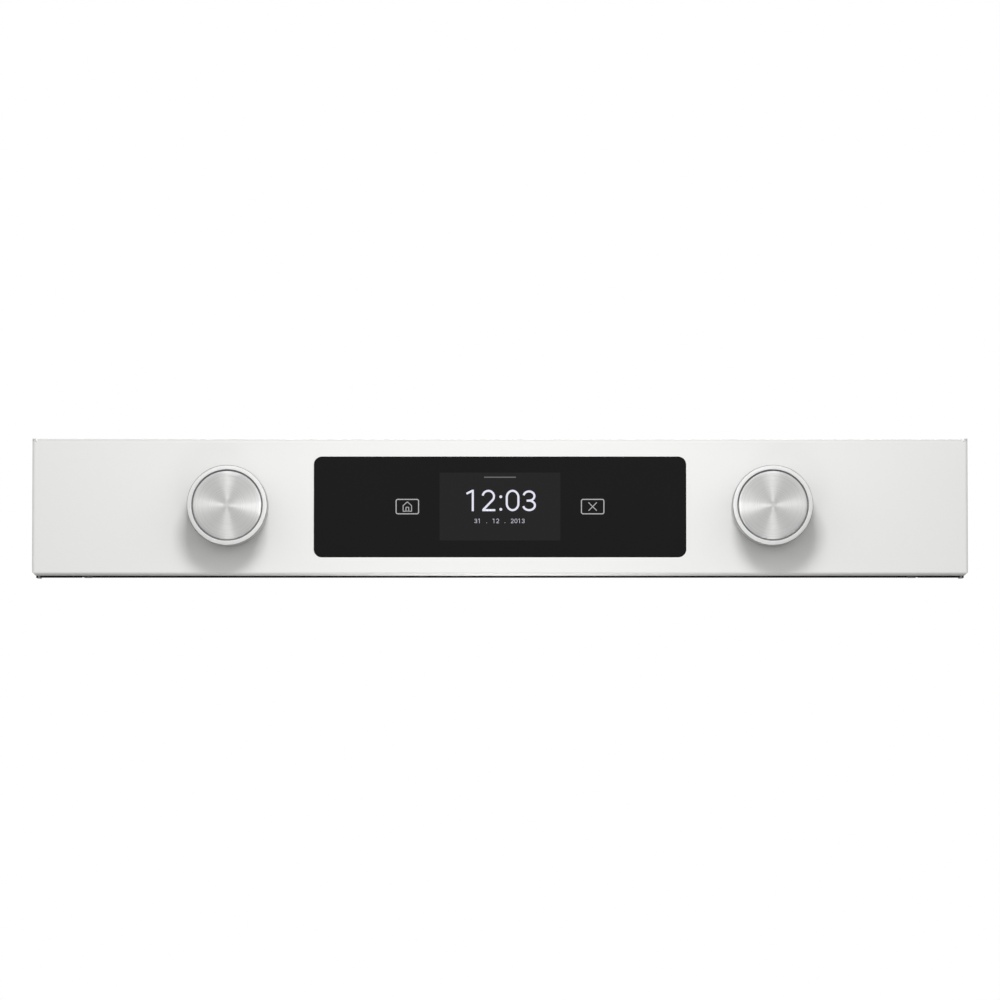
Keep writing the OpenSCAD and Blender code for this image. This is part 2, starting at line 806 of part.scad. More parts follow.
// Moulded collar that lines the fascia's hole round each shaft
grommet_bore_r = 3.7;
grommet_neck_r = shaft_hole_r - run_gap;
grommet_bead_r = 6.8;
grommet_flange_r = 9;

module shaft_grommets()
    color("#202022")
        for (side = [-1, 1])
            at_knob(side)
                turned()
                    polygon([
                        [grommet_bore_r, -fascia_back_y - 1], [grommet_flange_r, -fascia_back_y - 1],
                        [grommet_flange_r, -fascia_back_y], [grommet_neck_r, -fascia_back_y],
                        [grommet_neck_r, -face_y], [grommet_bead_r, -face_y],
                        [grommet_bead_r, -face_y + 0.3], [grommet_bead_r - 0.2, -face_y + 0.5],
                        [grommet_bore_r, -face_y + 0.5]
                    ]);

// Spring leaf that presses on the rotor's notched rim from above
notch_count = 24;
notch_r = 0.35;

module detent_spring(side)
    color("#c9a24c")
        at_knob(side)
            difference() {
                bar(rotor_cavity_r - 0.02, rotor_y + 0.4, rotor_y + rotor_t - 0.4);
                bar(rotor_cavity_r - 0.27, rotor_y, rotor_y + rotor_t);
                block([-rotor_cavity_r, rotor_y, -rotor_cavity_r], [rotor_cavity_r, 0, 4.4]);
            }

// Notched wheel keyed on the shaft's tail
module encoder_rotor(side)
    color("#d8d4c8")
        at_knob(side)
            difference() {
                union() {
                    bar(rotor_r, rotor_y, rotor_y + rotor_t, fn = 96);
                    bar(tail_r + 1.4, rotor_y + rotor_t, rotor_cavity_end_y - 0.1);
                }
                intersection() {
                    bar(tail_r + run_gap, rotor_y - cut, rotor_cavity_end_y + cut);
                    block([-tail_r - 1, rotor_y - 1, -tail_r - 1], [tail_r + 1, 0, tail_r / 2 + run_gap]);
                }
                for (i = [0 : notch_count - 1])
                    rotate([0, i * 360 / notch_count, 0])
                        bar(notch_r, rotor_y - cut, rotor_y + rotor_t + cut, rotor_r, 0, 16);
            }

// Button of the push switch, behind the end of the shaft's tail
module plunger(side)
    color("#b53a2c")
        at_knob(side) {
            bar(1.7, rotor_cavity_end_y, plunger_flange_y);
            bar(3.6, plunger_flange_y, plunger_flange_y + plunger_flange_t);
        }

// Ring of points round a coil's wire: the centre runs up a helix along -Y
spring_len = switch_pocket_end_y - plunger_flange_y - plunger_flange_t;
wire_sides = 8;
coil_steps = 40;

function coil_ring(t) =
    let (a = t * spring_turns * 360, y = switch_pocket_end_y - spring_wire / 2
            - t * (spring_len - spring_wire))
        [for (k = [0 : wire_sides - 1])
            let (r = spring_r + spring_wire / 2 * cos(k * 360 / wire_sides))
                [r * cos(a), y + spring_wire / 2 * sin(k * 360 / wire_sides), r * sin(a)]];

module return_spring(side)
    color("#c8cbce")
        at_knob(side)
            polyhedron(
                points = [for (i = [0 : coil_steps]) each coil_ring(i / coil_steps)],
                faces = concat(
                    [[for (k = [0 : wire_sides - 1]) k]],
                    [for (i = [0 : coil_steps - 1], k = [0 : wire_sides - 1])
                        [i * wire_sides + k, (i + 1) * wire_sides + k,
                            (i + 1) * wire_sides + (k + 1) % wire_sides,
                            i * wire_sides + (k + 1) % wire_sides]],
                    [[for (k = [wire_sides - 1 : -1 : 0]) coil_steps * wire_sides + k]]
                )
            );

// Steel shaft: flat for the knob in front, a stop collar, and a keyed tail in the rotor
shaft_shoulder_y = base_y + 0.4;
tail_end_y = rotor_cavity_end_y - 0.1;

module encoder_shaft(side)
    color("#c3c7ca")
        at_knob(side)
            difference() {
                union() {
                    bar(shaft_r, face_y - shaft_end_f, shaft_shoulder_y);
                    bar(shaft_r + 1, base_y + 0.1, base_y + 0.7);
                    bar(tail_r, shaft_shoulder_y, tail_end_y);
                }
                block([-shaft_r - 1, face_y - shaft_end_f - 1, shaft_r - flat_depth],
                    [shaft_r + 1, face_y - hub_start_f + 1, shaft_r + 1]);
                block([-tail_r - 1, base_y + 0.7, tail_r / 2], [tail_r + 1, 0, tail_r + 1]);
            }

// Moulded hub with a D-shaped bore, ribs out to the shell and a seat for the clip
module knob_hub(side)
    color("#242427")
        at_knob(side)
            difference() {
                union() {
                    bar(hub_r, face_y - web_f, face_y - hub_start_f);
                    for (i = [0 : hub_rib_count - 1])
                        rotate([0, i * 360 / hub_rib_count, 0])
                            block([hub_r - 1, face_y - web_f, -hub_rib_t / 2],
                                [knob_r - shell_wall - run_gap, face_y - web_f + 9, hub_rib_t / 2]);
                }
                intersection() {
                    bar(shaft_r + run_gap / 2, face_y - hub_bore_end_f, face_y - hub_start_f + cut);
                    block([-shaft_r - 1, face_y - shaft_end_f - 1, -shaft_r - 1],
                        [shaft_r + 1, 0, shaft_r - flat_depth + run_gap / 2]);
                }
                difference() {
                    bar(hub_r + 1, face_y - clip_front_f - 0.2, face_y - clip_back_f + 0.2);
                    bar(hub_r - clip_t, face_y - clip_front_f - 1, face_y - clip_back_f + 1);
                }
            }

// Open spring ring that grips the hub on the shaft
module knob_clip(side)
    color("#c8cbce")
        at_knob(side)
            difference() {
                bar(hub_r, face_y - clip_front_f, face_y - clip_back_f);
                bar(hub_r - clip_t, face_y - clip_front_f - 1, face_y - clip_back_f + 1);
                block([-1.2, face_y - clip_front_f - 1, 0], [1.2, face_y - clip_back_f + 1, hub_r + 1]);
            }

// Turned shell of the knob: the grip, a rounded rim, and a web that carries cap and hub
module knob_ring(side) {
    crown_r = 0.8;
    lip_r = 0.3;
    chamfer = 0.4;
    rim_in_r = knob_r - rim_w;
    f0 = -face_y;
    color("#e9e9e8")
        at_knob(side)
            turned() {
                translate([spigot_r, f0 + web_f])
                    square([knob_r - shell_wall - spigot_r, recess_f - web_f]);
                polygon([
                    [knob_r - shell_wall, f0 + knob_gap], [knob_r - chamfer, f0 + knob_gap],
                    [knob_r, f0 + knob_gap + chamfer], [knob_r, f0 + rim_f - crown_r],
                    [knob_r - shell_wall, f0 + rim_f - crown_r]
                ]);
                translate([rim_in_r, f0 + web_f])
                    square([rim_w - crown_r, rim_f - lip_r - web_f]);
                translate([rim_in_r + lip_r, f0 + web_f])
                    square([rim_w - lip_r - crown_r, rim_f - web_f]);
                translate([knob_r - crown_r, f0 + rim_f - crown_r]) circle(r = crown_r, $fn = 48);
                translate([rim_in_r + lip_r, f0 + rim_f - lip_r]) circle(r = lip_r, $fn = 32);
            }
}

// Spun aluminium cap, with a bright bevel and a spigot glued into the shell's web
module knob_cap(side) {
    bevel = 0.4;
    f0 = -face_y;
    color("#c9cacc")
        at_knob(side)
            turned()
                polygon([
                    [0, f0 + web_f], [spigot_r, f0 + web_f], [spigot_r, f0 + recess_f],
                    [cap_r, f0 + recess_f], [cap_r, f0 + cap_f - bevel],
                    [cap_r - bevel, f0 + cap_f], [0, f0 + cap_f]
                ]);
}

fascia();
weld_studs();
stud_nuts();
end_bracket(-1);  // end_bracket_left
end_bracket(1);  // end_bracket_right
side_seals();
air_guide();
air_guide_screws();
window_gasket();
glass();
glass_tape();
display_carrier();
lcd_cell();
lcd_backlight();
lcd_flex();
key_electrodes();
key_light_guides();
user_board();
board_chips();
edge_contacts();
radio_module();
buzzer();
capacitors();
lead_headers();
board_screws();
encoder_bracket(-1);  // encoder_bracket_left
encoder_bracket(1);  // encoder_bracket_right
encoder_body(-1);  // encoder_body_left
encoder_body(1);  // encoder_body_right
encoder_base(-1);  // encoder_base_left
encoder_base(1);  // encoder_base_right
bushing_nuts();
encoder_board(-1);  // encoder_board_left
encoder_board(1);  // encoder_board_right
board_spacers();
lead_plugs();
encoder_lead(-1);  // encoder_lead_left
encoder_lead(1);  // encoder_lead_right
shaft_grommets();
detent_spring(-1);  // detent_spring_left
detent_spring(1);  // detent_spring_right
encoder_rotor(-1);  // encoder_rotor_left
encoder_rotor(1);  // encoder_rotor_right
plunger(-1);  // plunger_left
plunger(1);  // plunger_right
return_spring(-1);  // return_spring_left
return_spring(1);  // return_spring_right
encoder_shaft(-1);  // encoder_shaft_left
encoder_shaft(1);  // encoder_shaft_right
knob_hub(-1);  // knob_hub_left
knob_hub(1);  // knob_hub_right
knob_clip(-1);  // knob_clip_left
knob_clip(1);  // knob_clip_right
knob_ring(-1);  // knob_ring_left
knob_ring(1);  // knob_ring_right
knob_cap(-1);  // knob_cap_left
knob_cap(1);  // knob_cap_right
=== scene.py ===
"""Finishes, display artwork and small board parts of a built-in oven's control panel.

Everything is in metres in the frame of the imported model: +X right and +Y back as seen from the
front, +Z up, with the origin in the plane of the chassis screws.
"""
import math
import random

import bmesh
import bpy
from mathutils import Matrix, Vector


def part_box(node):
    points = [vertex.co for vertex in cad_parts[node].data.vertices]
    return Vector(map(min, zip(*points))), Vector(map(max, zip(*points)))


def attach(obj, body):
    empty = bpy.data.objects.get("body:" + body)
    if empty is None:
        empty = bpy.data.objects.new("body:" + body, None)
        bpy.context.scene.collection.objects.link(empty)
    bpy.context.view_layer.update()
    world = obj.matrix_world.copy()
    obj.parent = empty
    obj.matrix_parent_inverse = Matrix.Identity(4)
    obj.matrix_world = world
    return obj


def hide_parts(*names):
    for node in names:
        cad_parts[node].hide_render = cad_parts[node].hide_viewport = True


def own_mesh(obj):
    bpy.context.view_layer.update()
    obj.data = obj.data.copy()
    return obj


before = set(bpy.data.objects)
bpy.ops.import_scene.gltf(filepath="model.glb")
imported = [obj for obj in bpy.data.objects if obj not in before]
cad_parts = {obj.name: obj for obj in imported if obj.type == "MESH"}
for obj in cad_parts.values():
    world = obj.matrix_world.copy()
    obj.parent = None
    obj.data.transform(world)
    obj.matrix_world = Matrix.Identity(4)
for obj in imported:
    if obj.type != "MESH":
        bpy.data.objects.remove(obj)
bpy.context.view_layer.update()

MM = 0.001
PANEL = "panel"

# Depths that come from the frame: the front of the glass and the back of the main board
front_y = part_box("glass")[0][1]
board_back_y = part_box("user_board")[1][1]

# The display's artwork, in millimetres
SCREEN_SIZE = (76.8, 43.2)
SCREEN_Z = 0.25
BAR_SIZE = (20.3, 0.75)
BAR_Z = 18.9
KEY_X = 58.9
KEY_Z = 0.2
KEY_FRAME = (14.9, 9.8)
KEY_LINE = 0.62
ICON_LINE = 0.5
INK_T = 0.03

# A figure's cell, in millimetres; FIGURE_LINE is the width of its strokes
FIGURE_W = 8.7
FIGURE_H = 13.6
FIGURE_LINE = 1.3


# ---------------------------------------------------------------- camera, light and floor

def aim(thing, target):
    """Turns a camera or a light so that it looks at a point."""
    direction = Vector(target) - thing.location
    thing.rotation_euler = direction.to_track_quat("-Z", "Y").to_euler()


def add_camera():
    """A long lens a little below the panel, looking slightly up at it."""
    distance = 3.4
    eye_z = -0.184
    seen_width = 0.6357
    sensor = 36.0
    aim_z = 0.0044
    data = bpy.data.cameras.new("camera")
    camera = bpy.data.objects.new("camera", data)
    bpy.context.scene.collection.objects.link(camera)
    camera.location = (0, front_y - distance, eye_z)
    aim(camera, (0, front_y, aim_z))
    data.sensor_width = sensor
    data.lens = sensor * math.hypot(distance, aim_z - eye_z) / seen_width
    data.clip_end = 100
    bpy.context.scene.camera = camera


def softbox(name, place, target, size, watts, spread_angle=130, diffuse=True, glossy=True):
    """A rectangular soft light that the camera doesn't see. It may light only matt surfaces, or
    only be mirrored by glossy ones, as a light behind a scrim or a reflector card does."""
    data = bpy.data.lights.new(name, "AREA")
    data.shape = "RECTANGLE"
    data.size, data.size_y = size
    data.energy = watts
    data.spread = math.radians(spread_angle)
    light = bpy.data.objects.new(name, data)
    bpy.context.scene.collection.objects.link(light)
    light.location = place
    light.visible_camera = False
    light.visible_diffuse = diffuse
    light.visible_glossy = glossy
    aim(light, target)


def add_lights():
    """A key above the front, a low fill, a small light under the middle, a light behind, and
    round each knob three cards that its spun cap mirrors as a cross of streaks."""
    softbox("key", (0, -0.72, 0.62), (0, front_y, -0.16), (0.34, 0.26), 2.1, 110, glossy=False)
    softbox("low_fill", (0, -0.42, -0.26), (0, front_y, -0.04), (0.14, 0.14), 0.07, glossy=False)
    softbox("under_fill", (0, front_y + 0.008, -0.22), (0, front_y, -0.04), (0.1, 0.04), 0.2,
            glossy=False)
    softbox("back_fill", (0.3, 1.4, 1.0), (0, front_y, 0), (1.2, 0.8), 13)
    off_axis = 0.48
    ahead = 0.6
    for side, name in ((-1, "left"), (1, "right")):
        low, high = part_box("knob_cap_" + name)
        knob_x = (low[0] + high[0]) / 2
        flat = (0.14, 0.07)
        tall = (0.07, 0.14)
        cards = (("inner", -side, 0, flat, 0.06), ("upper", 0, 1, tall, 0.03),
                 ("lower", 0, -1, tall, 0.034))
        for card, across, up, size, watts in cards:
            place = (knob_x + across * off_axis, front_y - ahead, up * off_axis)
            softbox(card + "_card_" + name, place, (knob_x, front_y, 0), size, watts, 50,
                    diffuse=False)


def add_world():
    """White where the camera looks past the object. Everything else sees a pale room, darker
    overhead and below, and darker straight ahead, so that the glass stays black."""
    strength_all_round = 0.87
    world = bpy.data.worlds.new("studio")
    bpy.context.scene.world = world
    world.use_nodes = True
    tree = world.node_tree
    tree.nodes.clear()
    way = add(tree, "ShaderNodeTexCoord").outputs["Generated"]
    parts = add(tree, "ShaderNodeSeparateXYZ", {"Vector": way})
    height = add(tree, "ShaderNodeMapRange",
                 {"Value": parts.outputs["Z"], "From Min": -0.4, "From Max": 0.3,
                  "To Min": 0.02, "To Max": 1.2 * strength_all_round}).outputs[0]
    overhead = add(tree, "ShaderNodeMapRange",
                   {"Value": parts.outputs["Z"], "From Min": 0.35, "From Max": 0.9,
                    "To Min": 1.0, "To Max": 0.35}).outputs[0]
    ahead = add(tree, "ShaderNodeMapRange",
                {"Value": parts.outputs["Y"], "From Min": -0.995, "From Max": -0.965,
                 "To Min": 0.5, "To Max": 1.0}).outputs[0]
    even = add(tree, "ShaderNodeMath", {0: height, 1: overhead}, operation="MULTIPLY").outputs[0]
    strength = add(tree, "ShaderNodeMath", {0: even, 1: ahead}, operation="MULTIPLY").outputs[0]
    path = add(tree, "ShaderNodeLightPath")
    seen = add(tree, "ShaderNodeBackground", {"Color": (1, 1, 1, 1), "Strength": 1.0})
    room = add(tree, "ShaderNodeBackground", {"Color": (1, 1, 1, 1), "Strength": strength})
    mix = add(tree, "ShaderNodeMixShader",
              {0: path.outputs["Is Camera Ray"], 1: room.outputs[0], 2: seen.outputs[0]})
    add(tree, "ShaderNodeOutputWorld", {"Surface": mix.outputs[0]})


def add_floor():
    """A plain pale floor, as far below the panel as in a kitchen with the oven at eye level."""
    floor_z = -1.6
    half = 2.0
    bm = bmesh.new()
    bmesh.ops.create_grid(bm, x_segments=1, y_segments=1, size=half)
    bmesh.ops.translate(bm, verts=bm.verts, vec=(0, 0, floor_z))
    mesh = bpy.data.meshes.new("floor")
    bm.to_mesh(mesh)
    bm.free()
    mesh.materials.append(studio_floor())
    floor = bpy.data.objects.new("floor", mesh)
    bpy.context.scene.collection.objects.link(floor)


# ---------------------------------------------------------------- materials

def linear(hex_colour):
    """An sRGB hex colour as linear red, green, blue and alpha."""
    channels = [int(hex_colour[i:i + 2], 16) / 255 for i in (1, 3, 5)]
    return [c / 12.92 if c <= 0.04045 else ((c + 0.055) / 1.055) ** 2.4 for c in channels] + [1.0]


def add(tree, kind, inputs=None, **settings):
    """Adds a node with its settings; an input is a value or the socket that feeds it."""
    made = tree.nodes.new(kind)
    for name, value in settings.items():
        setattr(made, name, value)
    for socket, value in (inputs or {}).items():
        if isinstance(value, bpy.types.NodeSocket):
            tree.links.new(value, made.inputs[socket])
        else:
            made.inputs[socket].default_value = value
    return made


def start(name):
    """A new material and its empty tree, with Object coordinates ready."""
    made = bpy.data.materials.new(name)
    made.use_nodes = True
    tree = made.node_tree
    tree.nodes.clear()
    place = add(tree, "ShaderNodeTexCoord").outputs["Object"]
    return made, tree, place


def finish(tree, shader_inputs):
    """Ends a tree with its Principled shader and output."""
    shader = add(tree, "ShaderNodeBsdfPrincipled", shader_inputs)
    add(tree, "ShaderNodeOutputMaterial", {"Surface": shader.outputs[0]})


def surface(tree, pattern, colours, roughness, relief=None, coloured="Base Color", **rest):
    """Ends a tree with a shader that follows one 0 to 1 pattern: its colour lies between two sRGB
    colours, its roughness is a number or lies between two, and relief gives the depth of the
    pattern in millimetres and its strength. Words in the names of other sockets have _ between."""
    low, high = (linear(colour) for colour in colours)
    inputs = {coloured: add(tree, "ShaderNodeMix", {"Factor": pattern, 6: low, 7: high},
                            data_type="RGBA").outputs[2],
              "Roughness": roughness}
    if isinstance(roughness, tuple):
        inputs["Roughness"] = add(tree, "ShaderNodeMapRange", {
            "Value": pattern, "To Min": roughness[0], "To Max": roughness[1]}).outputs[0]
    if relief:
        depth_mm, strength = relief
        inputs["Normal"] = add(tree, "ShaderNodeBump", {
            "Height": pattern, "Distance": depth_mm * MM, "Strength": strength}).outputs[0]
    inputs.update({name.replace("_", " "): value for name, value in rest.items()})
    finish(tree, inputs)


def mottled(name, size_mm, colours, roughness, relief=None, stretch=None, **rest):
    """A surface whose pattern is a cloudy grain about size_mm across, or drawn out along the axes
    where stretch is small."""
    made, tree, place = start(name)
    if stretch:
        place = add(tree, "ShaderNodeMapping", {"Vector": place, "Scale": stretch}).outputs[0]
    tone = add(tree, "ShaderNodeTexNoise", {"Vector": place, "Scale": 1 / (size_mm * MM)})
    surface(tree, tone.outputs["Fac"], colours, roughness, relief, **rest)
    return made


def banded(name, pitch_mm, across, colours, roughness, relief=None, **rest):
    """A surface whose pattern is bands or rings a pitch apart, counted across the axis given."""
    made, tree, place = start(name)
    bands = add(tree, "ShaderNodeTexWave", {"Vector": place, "Scale": band_scale(pitch_mm)},
                bands_direction=across)
    surface(tree, bands.outputs["Fac"], colours, roughness, relief, **rest)
    return made


def band_scale(pitch_mm):
    """The wave texture's scale for bands a pitch apart: its bands repeat every pi / 10 units."""
    return math.pi / 10 / (pitch_mm * MM)


def studio_floor():
    """Matt studio board: pale and even, with the faint mottling of rolled paint."""
    return mottled("studio_floor", 90, ("#c9c9c7", "#cfcfcd"), 0.9)


def white_enamel():
    """Baked powder enamel on steel: neutral white, satin, with a very fine orange peel. Over the
    two long folds its colour is darkened from where each begins, as painted shade."""
    made, tree, place = start("white_enamel")
    fold_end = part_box("fascia")[1][2]
    fold_start = fold_end - 2.2 * MM
    darkest_fold_from = fold_end - 1.0 * MM
    darkest_fold = 0.78
    peel_depth = 0.004 * MM
    tone, peel = (add(tree, "ShaderNodeTexNoise", {
        "Vector": place, "Scale": 1 / (size_mm * MM), "Detail": 1.0}).outputs["Fac"]
        for size_mm in (120, 1.6))
    colour = add(tree, "ShaderNodeMix", {
        "Factor": tone, 6: linear("#eeeeec"), 7: linear("#f1f1ef")}, data_type="RGBA").outputs[2]
    height = add(tree, "ShaderNodeSeparateXYZ", {0: place}).outputs["Z"]
    from_middle = add(tree, "ShaderNodeMath", {0: height}, operation="ABSOLUTE").outputs[0]
    # Painted shade: the colour is scaled down towards 0.78 over the top and bottom folds
    painted_fold_shade = add(tree, "ShaderNodeMapRange", {
        "Value": from_middle, "From Min": fold_start, "From Max": darkest_fold_from,
        "To Min": 1.0, "To Max": darkest_fold}).outputs[0]
    finish(tree, {
        "Base Color": add(tree, "ShaderNodeVectorMath", {0: colour, "Scale": painted_fold_shade},
                          operation="SCALE").outputs[0],
        "Roughness": add(tree, "ShaderNodeMapRange", {
            "Value": tone, "To Min": 0.36, "To Max": 0.42}).outputs[0],
        "IOR": 1.5,
        "Normal": add(tree, "ShaderNodeBump", {
            "Height": peel, "Distance": peel_depth, "Strength": 0.6}).outputs[0]})
    return made


def black_enamel():
    """Black powder paint on thin steel: near black with a dry, grainy surface."""
    return mottled("black_enamel", 0.7, ("#060606", "#0b0b0b"), (0.6, 0.72), (0.02, 0.6),
                   Specular_IOR_Level=0.2)


def galvanised_sheet():
    """Hot-dipped zinc on steel: flat crystals a few millimetres across, each a little lighter or
    darker than the next."""
    made, tree, place = start("galvanised_sheet")
    crystals_per_metre = 180
    sway = 0.002
    wobble = add(tree, "ShaderNodeTexNoise", {"Vector": place, "Scale": 1 / (4 * MM)})
    bent = add(tree, "ShaderNodeMix", {"Factor": sway, 4: place, 5: wobble.outputs["Color"]},
               data_type="VECTOR")
    spangle = add(tree, "ShaderNodeTexVoronoi",
                  {"Vector": bent.outputs[1], "Scale": crystals_per_metre})
    tone = add(tree, "ShaderNodeSeparateColor", {"Color": spangle.outputs["Color"]}).outputs[0]
    skin = add(tree, "ShaderNodeTexNoise", {"Vector": place, "Scale": 1 / (0.5 * MM)})
    skin_depth = 0.003 * MM
    surface(tree, tone, ("#acb1b3", "#bdc2c4"), (0.38, 0.46), Metallic=1.0,
            Normal=add(tree, "ShaderNodeBump", {
                "Height": skin.outputs["Fac"], "Distance": skin_depth,
                "Strength": 0.5}).outputs[0])
    return made


def threaded_copper_steel():
    """Copper-flashed weld studs: reddish metal with an M3 thread, drawn as rings 0.5 mm apart."""
    made, tree, place = start("threaded_copper_steel")
    turns = add(tree, "ShaderNodeTexWave", {"Vector": place, "Scale": band_scale(0.5)},
                bands_direction="Y")
    tone = add(tree, "ShaderNodeTexNoise", {"Vector": place, "Scale": 1 / (2 * MM)})
    thread_depth = 0.25 * MM
    surface(tree, tone.outputs["Fac"], ("#b5774c", "#c98d62"), 0.38, Metallic=1.0,
            Normal=add(tree, "ShaderNodeBump", {
                "Height": turns.outputs["Fac"], "Distance": thread_depth,
                "Strength": 0.9}).outputs[0])
    return made


def bright_zinc():
    """Barrel-plated zinc on screws and nuts: bright, bluish, softly streaked."""
    return mottled("bright_zinc", 1.5, ("#b4b9be", "#c9cdd0"), (0.26, 0.4), Metallic=1.0)


def cellular_foam():
    """Closed-cell rubber foam: dull black with pin-head pores."""
    made, tree, place = start("cellular_foam")
    pores = add(tree, "ShaderNodeTexVoronoi", {"Vector": place, "Scale": 1 / (0.6 * MM)})
    surface(tree, pores.outputs["Distance"], ("#0a0a0a", "#1a1a1a"), 0.95, (0.15, 0.8))
    return made


def printed_black_glass():
    """Tempered float glass, printed black behind: deep black under a polished, flat front."""
    return mottled("printed_black_glass", 40, ("#090909", "#0c0c0c"), (0.06, 0.1), IOR=1.52,
                   Specular_IOR_Level=0.36)


def lit_screen():
    """Colour screen seen through the glass: a little lighter than the print round it, because its
    dark picture still lets some of the backlight out, in columns of dots, drawn 0.9 mm apart so
    that they show."""
    return banded("lit_screen", 0.9, "X", ("#0b0b0b", "#0e0e0e"), 0.08, IOR=1.52,
                  Specular_IOR_Level=0.36, Emission_Color=linear("#ffffff"),
                  Emission_Strength=0.007)


def glowing(name, colours, strength):
    """Part of the screen's picture: its own light under the polished glass, barely mottled."""
    return mottled(name, 3, colours, 0.08, coloured="Emission Color", IOR=1.52,
                   Base_Color=linear("#050505"), Emission_Strength=strength)


def glowing_digits():
    """Clock figures on the screen: cool white light with a touch of violet."""
    return glowing("glowing_digits", ("#eaeafd", "#f2f2ff"), 0.9)


def dim_digits():
    """The smaller line on the screen: the same light, in strokes a third of a millimetre wide."""
    return glowing("dim_digits", ("#dedeec", "#e8e8f6"), 0.8)


def grey_screen_bar():
    """The pull-down bar at the top of the screen: light grey, turned well down."""
    return glowing("grey_screen_bar", ("#cfcfd4", "#dadade"), 0.2)


def backlit_print():
    """Keys left clear in the black print and filled with grey ink, lit evenly from behind."""
    return mottled("backlit_print", 2, ("#8d8d8d", "#969696"), 0.08, IOR=1.52,
                   Emission_Color=linear("#ffffff"), Emission_Strength=0.16)


def bonding_tape():
    """Acrylic foam tape: dark grey, matt and slightly fibrous."""
    return mottled("bonding_tape", 0.5, ("#1b1b1b", "#2a2a2a"), 0.85)


def moulded_black():
    """Black ABS blend with a spark-eroded mould texture: soft, even, faintly grey."""
    return mottled("moulded_black", 0.35, ("#161618", "#1f1f22"), (0.48, 0.62), (0.02, 0.6),
                   IOR=1.54)


def pressed_tin_tray():
    """Thin tinned steel tray behind the screen: brushed along its length."""
    return mottled("pressed_tin_tray", 0.25, ("#a6abae", "#c2c6c8"), (0.3, 0.45),
                   stretch=(0.03, 1, 1), Metallic=1.0)


def screen_cell():
    """The screen's own glass sandwich: black and glossy at its edges."""
    return mottled("screen_cell", 8, ("#101013", "#17171b"), 0.12)


def amber_ribbon():
    """Polyimide ribbon: amber film over copper lines, drawn 1 mm apart so that they show."""
    return banded("amber_ribbon", 1.0, "X", ("#8a5a1c", "#c98b2b"), 0.3, Coat_Weight=0.4)


def copper_foil():
    """Bare copper foil: warm metal, lightly tarnished in patches."""
    return mottled("copper_foil", 4, ("#a8683f", "#cf8f63"), (0.3, 0.5), Metallic=1.0)


def milky_acrylic():
    """Light guides in diffusing acrylic: milky white with some light going in."""
    return mottled("milky_acrylic", 5, ("#dededa", "#eeeeea"), 0.3, Subsurface_Weight=0.3,
                   Subsurface_Scale=2 * MM)


def solder_resist():
    """Green solder resist on glass epoxy: copper runs show through as lighter, raised lines,
    with a plated hole here and there."""
    made, tree, place = start("solder_resist")
    flat = add(tree, "ShaderNodeMapping", {"Vector": place, "Scale": (1, 0, 1)}).outputs[0]
    upright = add(tree, "ShaderNodeMapping",
                  {"Vector": flat, "Rotation": (math.radians(90), 0, 0)}).outputs[0]
    cells = add(tree, "ShaderNodeTexVoronoi", {"Vector": flat, "Scale": 1 / (7 * MM)},
                feature="DISTANCE_TO_EDGE", distance="EUCLIDEAN")
    runs = add(tree, "ShaderNodeTexBrick",
               {"Vector": upright, "Scale": 1 / (10 * MM), "Mortar Size": 0.035,
                "Brick Width": 0.9, "Row Height": 0.16, "Color1": (0, 0, 0, 1),
                "Color2": (0, 0, 0, 1), "Mortar": (1, 1, 1, 1)},
               offset=0.37, offset_frequency=3)
    area = add(tree, "ShaderNodeTexNoise", {"Vector": flat, "Scale": 1 / (22 * MM), "Detail": 0.0})
    zone = add(tree, "ShaderNodeMath", {0: area.outputs["Fac"], 1: 0.5}, operation="GREATER_THAN")
    lines = add(tree, "ShaderNodeMath", {0: runs.outputs["Color"], 1: zone.outputs[0]},
                operation="MULTIPLY").outputs[0]
    hole = add(tree, "ShaderNodeMath", {0: cells.outputs["Distance"], 1: 0.45},
               operation="GREATER_THAN").outputs[0]
    resist = add(tree, "ShaderNodeMix", {
        "Factor": lines, 6: linear("#16492f"), 7: linear("#1f6340")}, data_type="RGBA")
    colour = add(tree, "ShaderNodeMix", {
        "Factor": hole, 6: resist.outputs[2], 7: linear("#b9a468")}, data_type="RGBA")
    foil_t = 0.035 * MM
    finish(tree, {
        "Base Color": colour.outputs[2], "Roughness": 0.28,
        "Normal": add(tree, "ShaderNodeBump", {
            "Height": lines, "Distance": foil_t, "Strength": 0.7}).outputs[0]})
    return made


def chip_epoxy():
    """Moulded epoxy of the chips: charcoal, matt, finely pitted."""
    return mottled("chip_epoxy", 0.3, ("#17171a", "#222226"), (0.5, 0.7), (0.01, 0.5))


def plated_gold():
    """Hard gold on edge contacts: warm, smooth, faintly wiped along its length."""
    return mottled("plated_gold", 0.2, ("#c79a45", "#dfb968"), (0.2, 0.32),
                   stretch=(0.1, 1, 1), Metallic=1.0)


def tinned_steel():
    """Tin plate on screening cans, legs and joints: pale, soft-edged reflections."""
    return mottled("tinned_steel", 3, ("#bcbfc2", "#d3d5d6"), (0.25, 0.4), Metallic=1.0)


def drawn_aluminium():
    """Drawn aluminium cans: satin, with lines up the side."""
    return mottled("drawn_aluminium", 0.3, ("#b5b9bd", "#cfd2d5"), (0.28, 0.42),
                   stretch=(1, 0.05, 1), Metallic=1.0)


def natural_nylon():
    """Unpigmented nylon connectors: ivory, slightly waxy."""
    return mottled("natural_nylon", 2, ("#d8d1bd", "#e6e0cf"), 0.42, Subsurface_Weight=0.15,
                   Subsurface_Scale=1 * MM)


def ribbed_flat_lead():
    """Flat PVC lead: grey, five cores side by side, 1.2 mm apart, felt as ribs."""
    return banded("ribbed_flat_lead", 1.2, "Z", ("#9c9c98", "#cfcfca"), 0.45, (0.3, 0.9))


